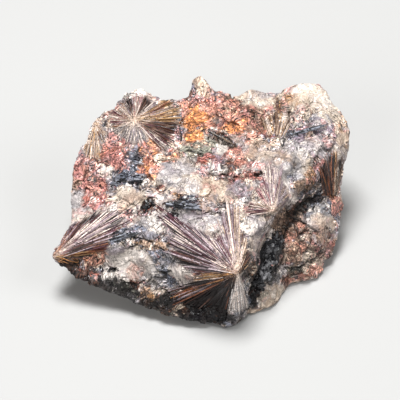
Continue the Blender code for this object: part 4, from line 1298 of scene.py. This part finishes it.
def spray_rays(surface, spray):
    """A mesh of loose points, one for each blade, with the blade's measures as attributes."""
    chooser = random.Random(spray["seed"])
    rows = []
    for low, high, low_reach, high_reach, count, tones in spray["sectors"]:
        bundles = [chooser.uniform(low, high) for _ in range(max(2, round((high - low) / BUNDLE_ANGLE)))]
        for _ in range(round(count * BLADES_FOR_ONE)):
            angle = chooser.uniform(low, high)
            if chooser.random() < BUNDLE_CHANCE:
                angle = min(high, max(low, chooser.gauss(chooser.choice(bundles), BUNDLE_SPREAD)))
            full = low_reach + (high_reach - low_reach) * (angle - low) / (high - low) - spray["clear"]
            full *= chooser.uniform(*BLADE_REACH)
            start = 0.0 if chooser.random() < FROM_HUB_CHANCE else full * chooser.uniform(*BLADE_START)
            reach = min(full, start + full * chooser.uniform(*BLADE_LENGTH)) + spray["clear"]
            start += spray["clear"]
            jog = Vector((chooser.gauss(0, JOG), chooser.gauss(0, JOG)))
            angle = math.radians(angle)
            root = Vector(spray["hub"]) + jog
            way = Vector((math.cos(angle), math.sin(angle)))

            def on_rock(distance):
                """Whether the rock is there, with a little to spare."""
                return all(
                    surface.ray_cast(EYE * MM, sight(*(root + way * distance + Vector((aside, aside)))))[0]
                    for aside in (-RIM_SPARE, 0, RIM_SPARE)
                )

            while reach > start and not on_rock(reach):
                reach -= RIM_STEP
            while start < reach and not on_rock(start):
                start += RIM_STEP
            if reach - start < SHORTEST_BLADE:
                continue
            name = picked(chooser, tones)
            light = chooser.uniform(*BLADE_LIGHT) * spray["light"]
            width = chooser.uniform(*spray["width"])
            lift = chooser.uniform(*BLADE_LIFT)
            tone = [min(1, value * light) for value in TONES[name]]
            hub_tone = HUB_TONES.get(name, PALE_HUB)
            rows.append((angle, start, reach, width, lift, chooser.random(), *jog, *tone, *hub_tone))
    table = np.array(rows)
    data = bpy.data.meshes.new("rays")
    data.vertices.add(len(rows))
    measures = ("angle", "start", "reach", "width", "lift", "own", "jog_across", "jog_up")
    for name, column in zip(measures, table.T):
        attribute(data, name, "FLOAT", column)
    ones = np.ones(len(rows))
    attribute(data, "tone", "FLOAT_COLOR", np.column_stack([table[:, 8:11], ones]))
    attribute(data, "hub_tone", "FLOAT_COLOR", np.column_stack([table[:, 11:14], ones]))
    return data


def fan_tree():
    """Geometry Nodes: a blade for each point, laid over the rock as the display view sees it."""
    build, given = new_tree("fan_of_blades", [
        ("Rock", "Object", None),
        ("Hub", "Vector", (0, 0, 0)),
        ("Stations", "Int", BLADE_STATIONS),
        ("Sides", "Int", BLADE_SIDES),
        ("Flatness", "Float", BLADE_FLATNESS),
        ("Straightness", "Float", STRAIGHTNESS),
        ("Material", "Material", None),
    ])
    rock = build.add("GeometryNodeObjectInfo", given["Rock"]).outputs["Geometry"]
    eye = build.add("FunctionNodeInputVector", vector=EYE * MM).outputs[0]
    hub = build.add("ShaderNodeSeparateXYZ", given["Hub"]).outputs

    def store(geometry, label, value):
        """The geometry with a number stored on each of its points."""
        return build.add(
            "GeometryNodeStoreNamedAttribute", geometry, data_type="FLOAT", domain="POINT",
            inputs={"Name": label, "Value": value},
        ).outputs[0]

    def seen(distance):
        """The sight to a place on the ray, how deep the rock is seen there, and whether it is there."""
        across = build.line(cosine, distance, build.maths("ADD", hub[0], build.named("jog_across")))
        up = build.line(sine, distance, build.maths("ADD", hub[1], build.named("jog_up")))
        flat = build.add("ShaderNodeCombineXYZ", across, 0.0, 0.0).outputs[0]
        rise = build.vector("SCALE", tuple(UPWARD), Scale=up)
        place = build.vector("ADD", build.vector("ADD", flat, rise), tuple(DISPLAY_CENTRE))
        way = build.vector("NORMALIZE", build.vector("SUBTRACT", place, tuple(EYE)))
        cast = build.add("GeometryNodeRaycast", rock, inputs={
            "Source Position": eye, "Ray Direction": way, "Ray Length": SIGHT_METRES,
        })
        return way, cast.outputs["Hit Distance"], cast.outputs["Is Hit"]

    def kept(hit, depth, otherwise):
        """The depth where the rock is there, or else another one."""
        return build.add("GeometryNodeSwitch", hit, otherwise, depth, input_type="FLOAT").outputs[0]

    # A straight line of stations for each blade.
    line = build.add("GeometryNodeCurvePrimitiveLine", inputs={"End": (1, 0, 0)}).outputs[0]
    even = build.add("GeometryNodeResampleCurve", line, inputs={"Count": given["Stations"]}).outputs[0]
    placed = build.add("GeometryNodeInstanceOnPoints", given["Geometry"], inputs={"Instance": even})
    real = build.add("GeometryNodeRealizeInstances", placed.outputs[0]).outputs[0]
    here = build.add("GeometryNodeInputPosition").outputs[0]
    stored = store(real, "share", build.add("ShaderNodeSeparateXYZ", here).outputs[0])
    share, angle, start, reach = (build.named(label) for label in ("share", "angle", "start", "reach"))
    cosine = build.maths("COSINE", angle)
    sine = build.maths("SINE", angle)

    # Its depth: between the ground and a straight line, never far from the ground, and sunk at its end.
    distance = build.mix(share, start, reach)
    way, ground, struck = seen(distance)
    _, start_depth, start_struck = seen(start)
    _, end_depth, end_struck = seen(reach)
    end_depth = kept(end_struck, end_depth, start_depth)
    start_depth = kept(start_struck, start_depth, end_depth)
    straight = build.mix(share, start_depth, end_depth)
    ground = kept(struck, ground, straight)
    depth = build.mix(given["Straightness"], ground, straight)
    depth = build.maths("MINIMUM", depth, build.maths("ADD", ground, LINE_UNDER * MM))
    depth = build.maths("MAXIMUM", depth, build.maths("SUBTRACT", ground, LINE_OVER * MM))
    fade = build.maths("SUBTRACT", 1.0, build.maths("POWER", share, LIFT_FADE))
    sink = build.maths("MULTIPLY", build.maths("POWER", share, END_SINK[0]), END_SINK[1])
    height = build.maths("SUBTRACT", build.maths("MULTIPLY", build.named("lift"), fade), sink)
    depth = build.maths("SUBTRACT", depth, build.maths("MULTIPLY", height, MM))
    place = build.vector("ADD", build.vector("SCALE", way, Scale=depth), tuple(EYE * MM))
    laid = build.add("GeometryNodeSetPosition", stored, inputs={"Position": place}).outputs[0]
    closeness = build.ranged(distance, HUB_TONE_START, build.line(reach, *HUB_TONE_REACH), 1.0, 0.0)
    laid = store(laid, "near_hub", closeness)

    # Its width: narrow at the hub, full along it, and tapered at its end.
    near = build.maths("MINIMUM", 1.0, build.line(distance, *HUB_WIDTH))
    taper = build.maths("MULTIPLY", build.maths("POWER", share, END_TAPER[0]), END_TAPER[1])
    width = build.maths("MULTIPLY", build.named("width"), near)
    width = build.maths("MULTIPLY", width, build.maths("SUBTRACT", 1.0, taper))
    width = build.maths("MULTIPLY", width, MM)
    sized = build.add("GeometryNodeSetCurveRadius", laid, inputs={"Radius": width})
    tilted = build.add("GeometryNodeSetCurveTilt", sized.outputs[0], inputs={
        "Tilt": build.maths("MULTIPLY", build.named("own"), TURN),
    }).outputs[0]
    circle = build.add("GeometryNodeCurvePrimitiveCircle", inputs={
        "Resolution": given["Sides"], "Radius": 1.0,
    })
    flat = build.add("ShaderNodeCombineXYZ", 1.0, given["Flatness"], 1.0).outputs[0]
    profile = build.add("GeometryNodeTransform", circle.outputs[0], inputs={"Scale": flat}).outputs[0]
    radius = build.add("GeometryNodeInputRadius").outputs[0]
    tube = build.add("GeometryNodeCurveToMesh", tilted, inputs={
        "Profile Curve": profile, "Scale": radius, "Fill Caps": True,
    })
    end_tree(build, tube.outputs[0], given["Material"])
    return build


# ---------------------------------------------------------------- aegirine


def bundle_points(surface, blade, seed):
    """Loose points for a bundle of prisms, with their direction, length and radius."""
    first, second, spread, count, radius, scatter, _ = blade
    chooser = random.Random(seed)
    ends = [surface.ray_cast(EYE * MM, sight(*place))[0] / MM for place in (first, second)]
    axis = ends[1] - ends[0]
    length = axis.length
    axis.normalize()
    side = axis.cross(TOWARD).normalized()
    out = side.cross(axis)
    rows = []
    for _ in range(count):
        long_share = chooser.uniform(*PRISM_LENGTH) / (1 + SHORTER_WHERE_LEANING * scatter)
        middle = chooser.uniform(long_share / 2 - PRISM_OVERHANG, 1 + PRISM_OVERHANG - long_share / 2)
        around = chooser.gauss(0, PRISM_ASIDE) * spread
        lift = chooser.uniform(*PRISM_LIFT) * spread
        spot = ends[0] + axis * length * middle
        lean = axis + side * chooser.gauss(0, scatter) + out * chooser.gauss(0, scatter * PRISM_LEAN_OUT)
        hit = surface.ray_cast(EYE * MM, (spot * MM - EYE * MM).normalized())[0]
        if hit:
            spot = hit / MM
        spot = spot + side * around + out * lift
        girth = radius * chooser.uniform(*PRISM_GIRTH)
        rows.append((*spot, *lean.normalized(), length * long_share, girth, chooser.random()))
    table = np.array(rows)
    data = bpy.data.meshes.new("bundle")
    data.vertices.add(len(rows))
    data.vertices.foreach_set("co", (table[:, :3] * MM).ravel())
    attribute(data, "lean", "FLOAT_VECTOR", table[:, 3:6])
    for column, name in enumerate(("long", "wide", "own"), 6):
        attribute(data, name, "FLOAT", table[:, column])
    return data


def prism_mesh():
    """A unit six-sided prism along Z with sloping ends."""
    mesh = bmesh.new()
    rings = []
    for height, share in PRISM_RINGS:
        turns = [2 * math.pi * (corner + 0.5) / PRISM_CORNERS for corner in range(PRISM_CORNERS)]
        rings.append([
            mesh.verts.new((math.cos(turn) * share, math.sin(turn) * share * PRISM_FLATNESS, height))
            for turn in turns
        ])
    for lower, upper in zip(rings, rings[1:]):
        for corner in range(PRISM_CORNERS):
            beside = (corner + 1) % PRISM_CORNERS
            mesh.faces.new((lower[corner], lower[beside], upper[beside], upper[corner]))
    mesh.faces.new(rings[0][::-1])
    mesh.faces.new(rings[-1])
    data = bpy.data.meshes.new("prism")
    mesh.to_mesh(data)
    mesh.free()
    return data


def bundle_tree():
    """Geometry Nodes: a prism on each point, turned along the point's own direction."""
    build, given = new_tree("bundle_of_prisms", [
        ("Prism", "Object", None),
        ("Material", "Material", None),
    ])
    prism = build.add("GeometryNodeObjectInfo", given["Prism"]).outputs["Geometry"]
    lean = build.named("lean", "FLOAT_VECTOR")
    turned = build.add("FunctionNodeAlignRotationToVector", axis="Z", inputs={"Vector": lean})
    spin = build.add("FunctionNodeRotateRotation", turned.outputs[0], rotation_space="LOCAL")
    spun = build.add("ShaderNodeCombineXYZ", 0.0, 0.0, build.maths("MULTIPLY", build.named("own"), TURN))
    build.plug(spin.inputs[1], build.add("FunctionNodeEulerToRotation", spun.outputs[0]).outputs[0])
    wide, long = (build.maths("MULTIPLY", build.named(label), MM) for label in ("wide", "long"))
    size = build.add("ShaderNodeCombineXYZ", wide, wide, long).outputs[0]
    placed = build.add("GeometryNodeInstanceOnPoints", given["Geometry"], inputs={
        "Instance": prism, "Rotation": spin.outputs[0], "Scale": size,
    })
    end_tree(build, placed.outputs[0], given["Material"])
    return build


# ---------------------------------------------------------------- the specimen


def build_specimen():
    """All pieces of the specimen."""
    fine = fine_grain_group()
    syenite = rock_material(fine, mineral_flecks_group(), hairline_group())
    lamprophyllite = blade_material(fine)
    aegirine = {hue: aegirine_material(fine, hue) for hue in WORN_FACES}

    skin = roughened_rock(rock_skin())
    skin.materials.clear()
    skin.materials.append(syenite)
    rock = add_object("syenite_rock", skin)
    hand_over(rock, "matrix")
    bpy.context.view_layer.update()
    surface = BVHTree.FromObject(rock, bpy.context.evaluated_depsgraph_get())

    fan = fan_tree()
    for node, spray in SPRAYS.items():
        data = grown(node + "_blades", spray_rays(surface, spray), fan, {
            "Rock": rock, "Hub": (*spray["hub"], 0.0), "Material": lamprophyllite,
            "Stations": BLADE_STATIONS, "Sides": BLADE_SIDES, "Flatness": BLADE_FLATNESS,
            "Straightness": STRAIGHTNESS,
        })
        hand_over(add_object(node + "_blades", data), node)

    bundle = bundle_tree()
    prism = add_object("prism_pattern", prism_mesh())
    for seed, (node, blade) in enumerate(AEGIRINE.items(), PRISM_SEED):
        data = grown(node + "_prisms", bundle_points(surface, blade, seed), bundle, {
            "Prism": prism, "Material": aegirine[blade[-1]],
        })
        hand_over(add_object(node + "_prisms", data), node)
    bpy.data.objects.remove(prism)


# ---------------------------------------------------------------- floor, light and camera


def set_up(name, data, place, look):
    """A lamp or camera at a place, looking in a direction."""
    made = add_object(name, data)
    made.location = place
    made.rotation_euler = look.to_track_quat("-Z", "Y").to_euler()
    return made


def build_studio():
    """A pale floor, soft light and the display view's camera."""
    mesh = bmesh.new()
    bmesh.ops.create_grid(mesh, x_segments=1, y_segments=1, size=FLOOR_HALF)
    data = bpy.data.meshes.new("floor")
    mesh.to_mesh(data)
    mesh.free()
    pale, _, shader = new_material("pale_floor")
    shader.inputs["Base Color"].default_value = (*FLOOR_TONE, 1)
    shader.inputs["Roughness"].default_value = FLOOR_ROUGHNESS
    data.materials.append(pale)
    add_object("floor", data)

    for name, (place, size, power) in LAMPS.items():
        lamp = bpy.data.lights.new(name, "AREA")
        lamp.size = size
        lamp.energy = power
        set_up(name, lamp, place, LAMP_AIM - Vector(place))

    world = bpy.data.worlds.new("studio")
    world.use_nodes = True
    background = world.node_tree.nodes["Background"]
    background.inputs["Color"].default_value = (*ROOM_TONE, 1)
    background.inputs["Strength"].default_value = ROOM_LIGHT
    bpy.context.scene.world = world
    bpy.context.scene.view_settings.view_transform = "Standard"

    lens = bpy.data.cameras.new("display_camera")
    lens.sensor_width = SENSOR
    lens.lens = SENSOR * DISPLAY_DISTANCE / DISPLAY_WIDTH
    lens.clip_start = NEAREST_SEEN
    bpy.context.scene.camera = set_up("display_camera", lens, EYE * MM, DISPLAY_CENTRE - EYE)


build_specimen()
build_studio()
